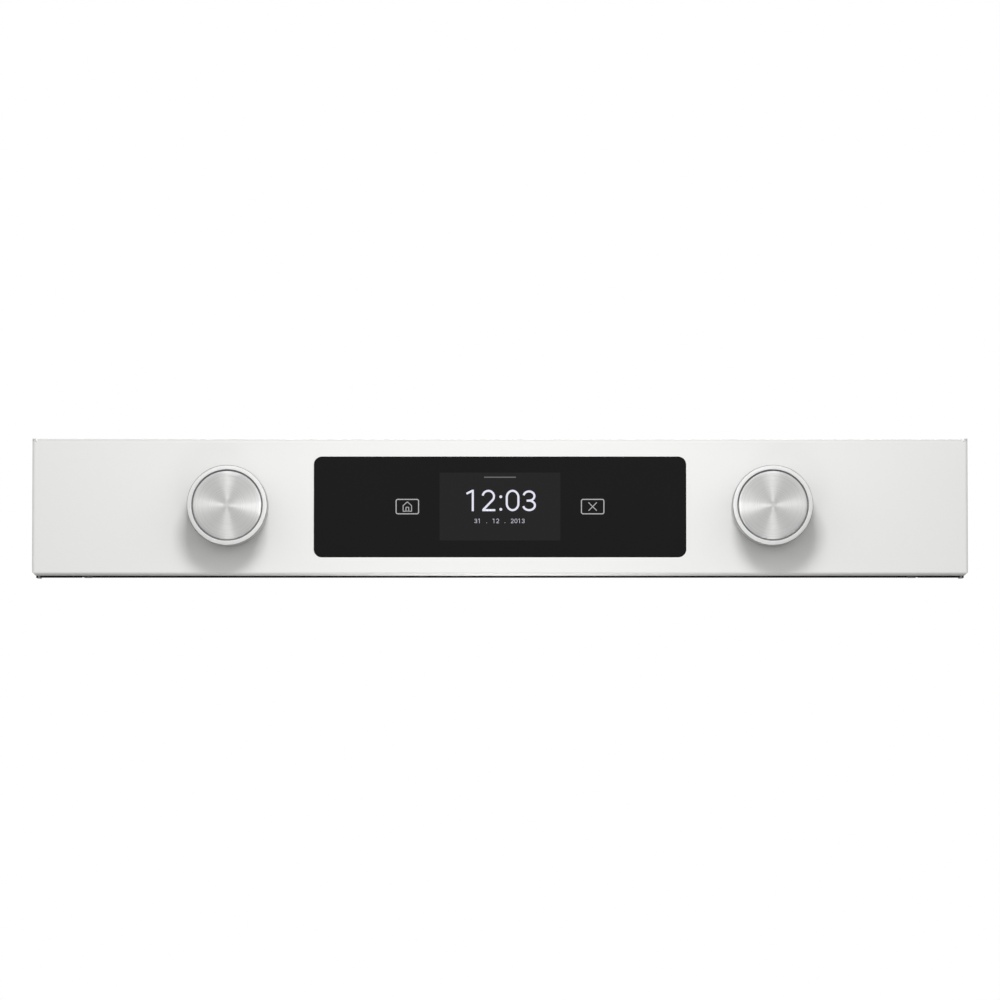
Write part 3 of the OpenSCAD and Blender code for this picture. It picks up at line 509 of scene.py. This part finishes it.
def die_cast_zinc():
    """Die-cast zinc, tumbled: grey metal with a fine pebbled skin."""
    return mottled("die_cast_zinc", 0.5, ("#9da1a5", "#b6babd"), (0.4, 0.55), (0.01, 0.6),
                   Metallic=1.0)


def filled_nylon():
    """Glass-filled nylon: blue-black, with short pale fibres just under the surface."""
    return mottled("filled_nylon", 0.3, ("#1c1f24", "#2b3037"), (0.45, 0.6),
                   stretch=(0.2, 1, 1))


def turned_brass():
    """Turned brass, nickel-flashed and worn: yellow metal with tool rings 0.4 mm apart."""
    return banded("turned_brass", 0.4, "Y", ("#b08f52", "#c6a769"), 0.3, (0.02, 0.5),
                  Metallic=1.0)


def spring_steel():
    """Cold-drawn spring steel: bright grey with fine marks."""
    return mottled("spring_steel", 0.4, ("#a9acae", "#c4c7c9"), (0.22, 0.36), Metallic=1.0)


def acetal():
    """Unpigmented acetal: off-white, slippery looking."""
    return mottled("acetal", 1.5, ("#d8d4c6", "#e4e0d4"), 0.35)


def red_button_plastic():
    """Moulded red button of the push switch."""
    return mottled("red_button_plastic", 0.8, ("#a93427", "#b93e30"), 0.4)


def turned_steel():
    """Centreless-ground steel shaft: smooth, with rings 0.3 mm apart."""
    return banded("turned_steel", 0.3, "Y", ("#a7abae", "#bfc2c5"), 0.28, Metallic=1.0)


def blasted_aluminium():
    """Bead-blasted, clear-anodised aluminium on the knob's shell: pale, soft, almost no grain."""
    return mottled("blasted_aluminium", 0.5, ("#f4f4f3", "#fafaf9"), (0.46, 0.52), (0.004, 0.5),
                   Metallic=0.75)


def spun_aluminium(name, axis_point):
    """Spun aluminium cap: rings round the knob's axis, drawn about 0.7 mm wide so that they show.
    Their grooves throw light out along the radius, so each lamp makes a streak through the
    middle."""
    made, tree, place = start(name)
    from_axis = add(tree, "ShaderNodeVectorMath", {0: place, 1: axis_point}, operation="SUBTRACT")
    radial = add(tree, "ShaderNodeVectorMath", {0: from_axis.outputs[0], 1: (1, 0, 1)},
                 operation="MULTIPLY").outputs[0]
    radius = add(tree, "ShaderNodeVectorMath", {0: radial}, operation="LENGTH").outputs["Value"]
    rings = add(tree, "ShaderNodeTexNoise", {"W": radius, "Scale": 1 / (0.7 * MM), "Detail": 3.0},
                noise_dimensions="1D")
    outward = add(tree, "ShaderNodeVectorTransform", {"Vector": radial},
                  vector_type="VECTOR", convert_from="OBJECT", convert_to="WORLD")
    surface(tree, rings.outputs["Fac"], ("#dcdcdb", "#f6f6f5"), (0.4, 0.47), (0.008, 0.6),
            Metallic=0.85, Anisotropic=0.85, Tangent=outward.outputs[0])
    return made


def painted_shade_edge():
    """The shell's side and rounded edge: satin metal in a darker colour than the face, as painted
    shade.
    """
    return mottled("painted_shade_edge", 0.6, ("#a8a8a8", "#b2b2b2"), (0.34, 0.42), Metallic=0.9)


def painted_shade_groove():
    """The bottom of the groove round the cap, and the cap's side: bare metal in a dark colour, as
    painted shade.
    """
    return mottled("painted_shade_groove", 0.5, ("#747474", "#828282"), (0.5, 0.6), Metallic=0.4)


def cut_bevel():
    """Diamond-cut bevel round the cap: a narrow bright line."""
    return mottled("cut_bevel", 0.6, ("#dcdcdc", "#e6e6e6"), (0.42, 0.5), Metallic=1.0)


def ceramic_part():
    """Small ceramic parts of the board: tan capacitors among black resistors."""
    made, tree, place = start("ceramic_part")
    grid = add(tree, "ShaderNodeVectorMath", {0: place, 1: (4 * MM,) * 3}, operation="SNAP")
    which = add(tree, "ShaderNodeTexWhiteNoise", {"Vector": grid.outputs[0]})
    surface(tree, which.outputs["Value"], ("#1d1c1b", "#a98b63"), 0.5)
    return made


# ---------------------------------------------------------------- pieces

def make_piece(name, bm, finishes, body, smooth_angle=None):
    """Turns a bmesh into a piece that rides on a body, with its faces pointing outwards."""
    bmesh.ops.remove_doubles(bm, verts=bm.verts, dist=1e-7)
    bmesh.ops.recalc_face_normals(bm, faces=bm.faces)
    mesh = bpy.data.meshes.new(name)
    bm.to_mesh(mesh)
    bm.free()
    for each in finishes:
        mesh.materials.append(each)
    if smooth_angle is not None:
        mesh.shade_smooth()
        mesh.set_sharp_from_angle(angle=math.radians(smooth_angle))
    piece = bpy.data.objects.new(name, mesh)
    bpy.context.scene.collection.objects.link(piece)
    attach(piece, body)
    return piece


def add_block(bm, centre, size):
    """Adds a small box."""
    place = Matrix.Translation(centre) @ Matrix.Diagonal((*size, 1))
    bmesh.ops.create_cube(bm, size=1.0, matrix=place)


def add_outline(bm, points, radii, y):
    """Adds a flat face in X and Z at depth y, its corners rounded by the radii."""
    corners = [bm.verts.new((x, y, z)) for x, z in points]
    bm.faces.new(corners)
    for corner, radius in zip(corners, radii):
        if radius:
            bmesh.ops.bevel(bm, geom=[corner], offset=radius, segments=8, profile=0.5,
                            affect="VERTICES", material=-1)


def rectangle(centre, size):
    """The corners of a rectangle in X and Z."""
    (x, z), (w, h) = centre, size
    return [(x - w / 2, z - h / 2), (x + w / 2, z - h / 2), (x + w / 2, z + h / 2),
            (x - w / 2, z + h / 2)]


def thicken(bm, thickness):
    """Gives every flat face a thickness towards the front."""
    made = bmesh.ops.extrude_face_region(bm, geom=list(bm.faces))["geom"]
    moved = [v for v in made if isinstance(v, bmesh.types.BMVert)]
    bmesh.ops.translate(bm, verts=moved, vec=(0, -thickness, 0))


def keep_border(bm, width):
    """Turns the only flat face into a frame of the width given."""
    face = list(bm.faces)
    bmesh.ops.inset_region(bm, faces=face, thickness=width, use_boundary=True,
                           use_even_offset=True)
    bmesh.ops.delete(bm, geom=face, context="FACES")


def ink_piece(name, bm, finish_made):
    """Finishes a layer of artwork, which lies on the glass."""
    thicken(bm, INK_T * MM)
    make_piece(name, bm, [finish_made], PANEL)


def arc(centre, reach, first, last, steps=20):
    """Points on an ellipse from one angle to another, in degrees."""
    angles = [math.radians(first + (last - first) * i / steps) for i in range(steps + 1)]
    return [(centre[0] + reach[0] * math.cos(a), centre[1] + reach[1] * math.sin(a))
            for a in angles]


def figure_strokes(figure):
    """The middle lines of a figure's strokes in its cell, each with whether it closes."""
    w, h, line = FIGURE_W, FIGURE_H, FIGURE_LINE
    foot = line / 2
    middle = w / 2
    bowl = (w - line) / 2
    if figure == "0":
        end = 0.31 * h
        return [(arc((middle, h - foot - end), (bowl, end), 0, 180)
                 + arc((middle, foot + end), (bowl, end), 180, 360), True)]
    if figure == "1":
        return [([(middle, 0), (middle, h)], False),
                ([(0.04 * w, 0.815 * h), (middle, h - 0.7 * foot)], False)]
    if figure == "2":
        top = (0.97 * bowl, 0.262 * h)
        curl = arc((middle - 0.2, h - foot - top[1]), top, 172, -45)
        return [(curl + [(foot + 0.1, 0.6 * line)], False),
                ([(0.04 * w, foot), (0.985 * w, foot)], False)]
    if figure == "3":
        upper = (0.93 * bowl, 0.216 * h)
        lower = (bowl, 0.222 * h)
        waist = foot + 2 * lower[1]
        return [(arc((middle - 0.15, waist + upper[1]), upper, 170, -90), False),
                (arc((middle - 0.1, waist - lower[1]), lower, 90, -170), False),
                ([(0.31 * w, waist), (middle, waist)], False)]
    return []


def swept(name, lines, radius):
    """Round wire along lines; each line is its points and whether it closes."""
    curve = bpy.data.curves.new(name, "CURVE")
    curve.dimensions = "3D"
    curve.bevel_depth = radius
    curve.bevel_resolution = 2
    curve.use_fill_caps = True
    for points, closed in lines:
        spline = curve.splines.new("POLY")
        spline.points.add(len(points) - 1)
        spline.use_cyclic_u = closed
        for point, place in zip(spline.points, points):
            point.co = (*place, 1)
    drawn = bpy.data.objects.new(name, curve)
    bpy.context.scene.collection.objects.link(drawn)
    bpy.context.view_layer.update()
    mesh = bpy.data.meshes.new_from_object(
        drawn.evaluated_get(bpy.context.evaluated_depsgraph_get()))
    bpy.data.objects.remove(drawn)
    bm = bmesh.new()
    bm.from_mesh(mesh)
    bpy.data.meshes.remove(mesh)
    return bm


def draw_figures(name, words, left, base, pitches, height, finish_made):
    """Plain round figures in thin strokes; pitches gives how far each is from the left."""
    size = height / FIGURE_H
    lines = [([(x + offset / size, 0, z) for x, z in points], closed)
             for figure, offset in zip(words, pitches)
             for points, closed in figure_strokes(figure)]
    bm = swept(name, lines, FIGURE_LINE / 2)
    dot_heights = {":": (0.085 * FIGURE_H, 0.675 * FIGURE_H), ".": (0.08 * FIGURE_H,)}
    dot_radius = 0.7 * FIGURE_LINE
    for figure, offset in zip(words, pitches):
        for z in dot_heights.get(figure, ()):
            place = (Matrix.Translation((FIGURE_W / 2 + offset / size, 0, z))
                     @ Matrix.Rotation(math.radians(90), 4, "X"))
            bmesh.ops.create_cone(bm, cap_ends=True, segments=24, radius1=dot_radius,
                                  radius2=dot_radius, depth=FIGURE_LINE, matrix=place)
    flat = INK_T / FIGURE_LINE
    bmesh.ops.scale(bm, verts=bm.verts, vec=(size * MM, flat * MM, size * MM))
    bmesh.ops.translate(bm, verts=bm.verts,
                        vec=(left * MM, front_y - INK_T / 2 * MM, base * MM))
    make_piece(name, bm, [finish_made], PANEL)


def screen_artwork():
    """The lit screen, its clock, a smaller line of figures and the bar at its top."""
    bm = bmesh.new()
    w, h = (side * MM for side in SCREEN_SIZE)
    add_outline(bm, rectangle((0, SCREEN_Z * MM), (w, h)), [0.2 * MM] * 4, front_y)
    thicken(bm, INK_T * MM / 3)
    make_piece("screen_area", bm, [lit_screen()], PANEL)

    bm = bmesh.new()
    w, h = (side * MM for side in BAR_SIZE)
    add_outline(bm, rectangle((0, BAR_Z * MM), (w, h)), [0.35 * MM] * 4, front_y)
    ink_piece("screen_bar", bm, grey_screen_bar())

    clock_left, clock_base = -21.65, -2.7
    clock_pitches = [0, 10.1, 17.8, 25.3, 35.9]
    draw_figures("clock_figures", "12:03", clock_left, clock_base, clock_pitches, FIGURE_H,
                 glowing_digits())
    small_left, small_base = -16.3, -10.3
    small_height = 2.8
    step = 2.32
    words = "31 . 12 . 2013"
    draw_figures("small_figures", words, small_left, small_base,
                 [i * step for i in range(len(words))], small_height, dim_digits())


def touch_keys():
    """The printed frames of the two touch keys, with a house in one and a cross in the other."""
    ink = backlit_print()
    for side, name in ((-1, "home_key"), (1, "close_key")):
        bm = bmesh.new()
        size = tuple(length * MM for length in KEY_FRAME)
        centre = (side * KEY_X * MM, KEY_Z * MM)
        add_outline(bm, rectangle(centre, size), [1.4 * MM] * 4, front_y)
        keep_border(bm, KEY_LINE * MM)
        ink_piece(name + "_frame", bm, ink)

    home_x = -KEY_X * MM
    walls = [(-2.95, -3.0), (2.95, -3.0), (2.95, 0.95), (0, 3.55), (-2.95, 0.95)]
    bm = bmesh.new()
    add_outline(bm, [(home_x + x * MM, z * MM) for x, z in walls], [0.3 * MM] * 5, front_y)
    keep_border(bm, ICON_LINE * MM)
    ink_piece("home_walls", bm, ink)
    door = [(-1.15, -2.9), (1.15, -2.9), (1.15, 0.05), (-1.15, 0.05)]
    bm = bmesh.new()
    add_outline(bm, [(home_x + x * MM, z * MM) for x, z in door], [0, 0, 0.7 * MM, 0.7 * MM],
                front_y)
    keep_border(bm, ICON_LINE * MM)
    ink_piece("home_door", bm, ink)

    bm = bmesh.new()
    reach = 2.65 * MM
    # The second bar lies a little higher, so that no two faces share a plane where they cross
    for turn, lift in ((45, 0), (-45, INK_T * MM / 3)):
        bar = rectangle((0, 0), (reach * 2 * math.sqrt(2), ICON_LINE * MM))
        c, s = math.cos(math.radians(turn)), math.sin(math.radians(turn))
        add_outline(bm, [(KEY_X * MM + x * c - z * s, KEY_Z * MM + x * s + z * c) for x, z in bar],
                    [0.15 * MM] * 4, front_y - lift)
    ink_piece("close_cross", bm, ink)


def spin_profile(bm, points, radii, axis_x):
    """Turns a closed outline of (radius, depth) points once round a knob's axis."""
    corners = [bm.verts.new((axis_x + r, y, 0)) for r, y in points]
    bm.faces.new(corners)
    for corner, radius in zip(corners, radii):
        if radius:
            bmesh.ops.bevel(bm, geom=[corner], offset=radius, segments=6, profile=0.5,
                            affect="VERTICES", material=-1)
    bmesh.ops.delete(bm, geom=list(bm.faces), context="FACES_ONLY")
    bmesh.ops.spin(bm, geom=list(bm.verts) + list(bm.edges), cent=(axis_x, 0, 0), axis=(0, 1, 0),
                   angle=math.radians(360), steps=144, use_merge=True)


def mark_faces(bm, axis_x, rules):
    """Gives faces a finish by place: each rule is a finish's number and a test of a face's
    greatest radius and of its middle depth."""
    for face in bm.faces:
        radius = max(math.hypot(v.co.x - axis_x, v.co.z) for v in face.verts)
        depth = face.calc_center_median().y
        for number, test in rules:
            if test(radius, depth):
                face.material_index = number


def knob_shell(side_name):
    """The knob's shell: its front slopes outwards to a rounded crown, its inner lip is fine and
    its lower edge is eased. Its crown, its side and the bottom of its groove are painted darker as
    shade."""
    node = "knob_ring_" + side_name
    low, high = (Vector(corner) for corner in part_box(node))
    cap_low, cap_high = (Vector(corner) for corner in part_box("knob_cap_" + side_name))
    axis_x = (low.x + high.x) / 2
    outer = (high.x - low.x) / 2
    rim_in = (cap_high.x - cap_low.x) / 2 + 1.0 * MM
    wall_in = outer - 2 * MM
    web_back = cap_high.y
    web_front = web_back - 2 * MM
    bore = 8 * MM
    crown = 0.8 * MM
    lip = 0.25 * MM
    slope = 0.25 * MM
    step_y = low.y + 1.4 * MM
    step_in = rim_in - 0.95 * MM
    outline = [(outer, high.y), (outer, low.y + slope), (rim_in, low.y), (rim_in, step_y),
               (step_in, step_y), (step_in, web_front), (bore, web_front), (bore, web_back),
               (wall_in, web_back), (wall_in, high.y)]
    easing = [0.4 * MM, crown, lip, 0, 0, 0, 0, 0, 0, 0]
    bm = bmesh.new()
    spin_profile(bm, outline, easing, axis_x)
    # Painted shade: the crown and side take the darker edge finish, the groove's step the dark
    # groove finish
    mark_faces(bm, axis_x, [
        (1, lambda radius, depth: radius > outer - 0.45 * crown),
        (2, lambda radius, depth: radius < rim_in + 0.1 * lip
            and step_y - 0.1 * MM < depth < web_front + 0.1 * MM)])
    shell = make_piece("knob_shell_" + side_name, bm,
                       [blasted_aluminium(), painted_shade_edge(), painted_shade_groove()], "knob_" + side_name,
                       35)
    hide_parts(node)


def knob_face(side_name):
    """The spun cap, crowned by half a millimetre, and its diamond-cut bevel; its side is painted
    dark as shade.
    """
    node = "knob_cap_" + side_name
    low, high = (Vector(corner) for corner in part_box(node))
    axis_x = (low.x + high.x) / 2
    outer = (high.x - low.x) / 2
    bevel = 0.6 * MM
    drop = 0.25 * MM
    crown = 0.45 * MM
    back = low.y + 2 * MM
    bm = bmesh.new()
    face_edge = outer - bevel
    rings = 12
    front = [(face_edge * i / rings, low.y + crown * (i / rings) ** 2)
             for i in range(rings + 1)]
    line = [bm.verts.new((axis_x + r, y, 0)) for r, y in
            front + [(outer, low.y + crown + drop), (outer, back), (0, back)]]
    for a, b in zip(line, line[1:]):
        bm.edges.new((a, b))
    bmesh.ops.spin(bm, geom=list(bm.verts) + list(bm.edges), cent=(axis_x, 0, 0), axis=(0, 1, 0),
                   angle=math.radians(360), steps=144, use_merge=True)
    bmesh.ops.remove_doubles(bm, verts=bm.verts, dist=1e-7)
    # Painted shade: the cap's side takes the dark groove finish
    mark_faces(bm, axis_x, [
        (1, lambda radius, depth: radius > face_edge + 0.01 * MM
            and depth < low.y + crown + drop),
        (2, lambda radius, depth: radius > face_edge + 0.01 * MM
            and depth > low.y + crown + drop)])
    spun = spun_aluminium("spun_aluminium_" + side_name, (axis_x, 0, 0))
    cap = make_piece("knob_face_" + side_name, bm, [spun, cut_bevel(), painted_shade_groove()],
                     "knob_" + side_name, 30)
    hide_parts(node)


# Chips on the back of the board: x, z, width and height in millimetres, and legs per side
CHIPS = [(-24, 8, 14, 14, 16), (-44, 10, 10, 8, 9), (-44, -2, 8, 6, 7), (20, 12, 5, 6, 4),
         (88, -14, 6.5, 6, 4), (4, -5, 6, 4, 4)]
# Electrolytic cans: x, z, radius and height in millimetres
CANS = [(38, 16, 3.15, 7.7), (38, 6, 3.15, 7.7), (92, 2, 4, 8), (30, -16, 4, 4)]
# Patches of the board that other parts fill: low x, low z, high x, high z in millimetres
FILLED = [(-34, -2, -14, 18), (-52, 3, -37, 17), (-50, -7, -38, 3), (15, 6, 25, 18),
          (82, -19, 94, -9), (-1, -9, 9, -1), (49, -8, 71, 21), (-94, -18, -78, -2),
          (32, 1, 44, 21), (86, -4, 98, 8), (24, -22, 36, -10), (-91, 3, -77, 17),
          (-16, -26, 16, -11), (-112, -6, -96, 14), (96, 0, 112, 12), (-10, 11, -2, 17),
          (-67, 12, -58, 19), (-114, 18, -100, 30), (100, 18, 114, 30), (-114, -30, -100, -18),
          (100, -30, 114, -18), (104, -20, 114, 0)]


def chip_legs():
    """Gull-wing legs round the chips, on two sides of the small ones and on all four of the
    large."""
    bm = bmesh.new()
    leg_reach, leg_width, leg_t = 1.0, 0.25, 0.2
    share_of_side = 0.9
    for x, z, w, h, legs in CHIPS:
        sides = (1, -1) if legs < 12 else (1, -1, 2, -2)
        for side in sides:
            along, across = (h, w) if abs(side) == 1 else (w, h)
            for i in range(legs):
                run = ((i + 0.5) / legs - 0.5) * along * share_of_side
                out = math.copysign(across / 2 + 0.45, side)
                centre = (x + out, z + run) if abs(side) == 1 else (x + run, z + out)
                size = (leg_reach, leg_width) if abs(side) == 1 else (leg_width, leg_reach)
                add_block(bm, (centre[0] * MM, board_back_y + leg_t / 2 * MM, centre[1] * MM),
                          (size[0] * MM, leg_t * MM, size[1] * MM))
    make_piece("chip_legs", bm, [tinned_steel()], PANEL)


def small_parts():
    """Resistors and ceramic capacitors on the free patches of the board, with tinned ends."""
    rng = random.Random(11)
    bodies = bmesh.new()
    ends = bmesh.new()
    pitch = 4
    margin = 1.5
    empty_share = 0.45
    kinds = [(1.6, 0.8, 0.5), (2.0, 1.25, 0.7)]
    end_length = 0.3
    end_proud = 0.05
    for x in range(-96, 100, pitch):
        for z in range(-26, 27, pitch):
            free = all(not (a - margin < x < c + margin and b - margin < z < d + margin)
                       for a, b, c, d in FILLED)
            if not free or rng.random() < empty_share:
                continue
            flat = rng.random() < 0.5
            length, width, height = rng.choice(kinds)
            turn = (lambda a, b: (a, b)) if flat else (lambda a, b: (b, a))
            middle_y = board_back_y + height / 2 * MM
            w, h = turn(length - 2 * end_length, width)
            add_block(bodies, (x * MM, middle_y, z * MM), (w * MM, height * MM, h * MM))
            for end in (-1, 1):
                dx, dz = turn(end * (length - end_length) / 2, 0)
                w, h = turn(end_length, width + end_proud)
                add_block(ends, ((x + dx) * MM, middle_y, (z + dz) * MM),
                          (w * MM, (height + end_proud) * MM, h * MM))
    make_piece("small_ceramic_parts", bodies, [ceramic_part()], PANEL)
    make_piece("small_part_ends", ends, [tinned_steel()], PANEL)


def aerial_track():
    """The radio board's printed aerial: a gold track that goes to and fro on its bare end."""
    low, high = (Vector(corner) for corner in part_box("radio_module"))
    bm = bmesh.new()
    module_board_t = 0.8 * MM
    track_t = 0.04 * MM
    y = board_back_y + module_board_t + track_t / 2
    left = low.x + 2 * MM
    right = high.x - 2 * MM
    runs = 6
    step = (right - left) / runs
    base_z = high.z - 5.5 * MM
    top_z = high.z - 1.2 * MM
    line = 0.5 * MM
    for i in range(runs + 1):
        x = left + i * step
        add_block(bm, (x, y, (base_z + top_z) / 2), (line, track_t, top_z - base_z))
        if i < runs:
            z = top_z if i % 2 == 0 else base_z
            add_block(bm, (x + step / 2, y, z), (step + line, track_t, line))
    make_piece("aerial_track", bm, [plated_gold()], PANEL)


def solder_joints():
    """Tinned joints on the back of each encoder board: the switch's legs and the lead's socket."""
    foot_r, tip_r, joint_h = 0.7 * MM, 0.25 * MM, 0.7 * MM
    stands_out = 0.3 * MM
    backwards = Matrix.Rotation(math.radians(-90), 4, "X")
    for side_name, sign in (("left", -1), ("right", 1)):
        board_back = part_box("encoder_board_" + side_name)[1][1]
        base_low, base_high = (Vector(c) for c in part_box("encoder_base_" + side_name))
        axis_x = (base_low.x + base_high.x) / 2
        bm = bmesh.new()
        spots = [(-2.5 + 2.5 * i, -6.2) for i in range(3)] + [(-2.5, 6.2), (2.5, 6.2)]
        spots += [(-sign * 18, 6 + 1.5 * i) for i in range(-2, 3)]
        for dx, dz in spots:
            place = Matrix.Translation((axis_x + dx * MM, board_back + stands_out, dz * MM))
            bmesh.ops.create_cone(bm, cap_ends=True, segments=20, radius1=foot_r, radius2=tip_r,
                                  depth=joint_h, matrix=place @ backwards)
        make_piece("solder_joints_" + side_name, bm, [tinned_steel()], PANEL, 50)


def can_tops():
    """Black half-moon marks on top of the electrolytic cans."""
    bm = bmesh.new()
    rim = 0.4
    for x, z, radius, height in CANS:
        place = (Matrix.Translation((x * MM, board_back_y + height * MM, z * MM))
                 @ Matrix.Rotation(math.radians(-90), 4, "X"))
        made = bmesh.ops.create_circle(bm, cap_ends=True, segments=40,
                                       radius=(radius - rim) * MM, matrix=place)["verts"]
        geom = set(made)
        for vert in made:
            geom.update(vert.link_edges)
            geom.update(vert.link_faces)
        bmesh.ops.bisect_plane(bm, geom=list(geom), plane_co=((x - 0.35 * radius) * MM, 0, 0),
                               plane_no=(1, 0, 0), clear_outer=True)
    made = bmesh.ops.extrude_face_region(bm, geom=list(bm.faces))["geom"]
    bmesh.ops.translate(bm, verts=[v for v in made if isinstance(v, bmesh.types.BMVert)],
                        vec=(0, INK_T * MM, 0))
    make_piece("can_marks", bm, [chip_epoxy()], PANEL)


def return_springs():
    """The coil springs of the push switches, wound from round wire."""
    wire = 0.3 * MM
    turns = 2
    steps = 28
    for side_name in ("left", "right"):
        node = "return_spring_" + side_name
        low, high = (Vector(corner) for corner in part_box(node))
        middle = (low + high) / 2
        coil_r = (high.x - low.x - wire) / 2
        length = high.y - low.y
        points = []
        for i in range(turns * steps + 1):
            angle = math.radians(360 * i / steps)
            along = high.y - wire / 2 - (length - wire) * i / (turns * steps)
            points.append((middle.x + coil_r * math.cos(angle), along,
                           coil_r * math.sin(angle)))
        spring = make_piece("coil_spring_" + side_name, swept(node, [(points, False)], wire / 2),
                            [spring_steel()], PANEL, 60)
        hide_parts(node)
        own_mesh(spring)


# ---------------------------------------------------------------- assembly

def both(stem):
    """The names of a left and right pair of nodes."""
    return [stem + "_left", stem + "_right"]


def dress_nodes():
    """Gives every node of the frame that stays in view its finish."""
    finishes = {
        white_enamel: ["fascia"],
        black_enamel: ["air_guide"],
        galvanised_sheet: both("end_bracket") + both("encoder_bracket"),
        threaded_copper_steel: ["weld_studs"],
        bright_zinc: ["stud_nuts", "air_guide_screws", "board_screws"],
        cellular_foam: ["side_seals", "window_gasket"],
        printed_black_glass: ["glass"],
        bonding_tape: ["glass_tape"],
        moulded_black: ["display_carrier", "buzzer", "shaft_grommets"] + both("knob_hub"),
        screen_cell: ["lcd_cell"],
        pressed_tin_tray: ["lcd_backlight"],
        amber_ribbon: ["lcd_flex"],
        copper_foil: ["key_electrodes"],
        milky_acrylic: ["key_light_guides"],
        solder_resist: ["user_board"] + both("encoder_board"),
        chip_epoxy: ["board_chips"],
        plated_gold: ["edge_contacts"],
        tinned_steel: ["radio_module"],
        drawn_aluminium: ["capacitors"],
        natural_nylon: ["lead_headers", "lead_plugs"],
        ribbed_flat_lead: both("encoder_lead"),
        die_cast_zinc: both("encoder_body"),
        filled_nylon: both("encoder_base"),
        turned_brass: ["bushing_nuts", "board_spacers"],
        spring_steel: both("detent_spring") + both("knob_clip"),
        acetal: both("encoder_rotor"),
        red_button_plastic: both("plunger"),
        turned_steel: both("encoder_shaft"),
    }
    for make, names in finishes.items():
        made = make()
        for name in names:
            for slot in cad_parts[name].material_slots:
                slot.material = made


add_camera()
add_lights()
add_world()
add_floor()
dress_nodes()
screen_artwork()
touch_keys()
for side_name in ("left", "right"):
    knob_shell(side_name)
    knob_face(side_name)
chip_legs()
small_parts()
aerial_track()
solder_joints()
can_tops()
return_springs()

bpy.context.scene.view_settings.view_transform = "Standard"
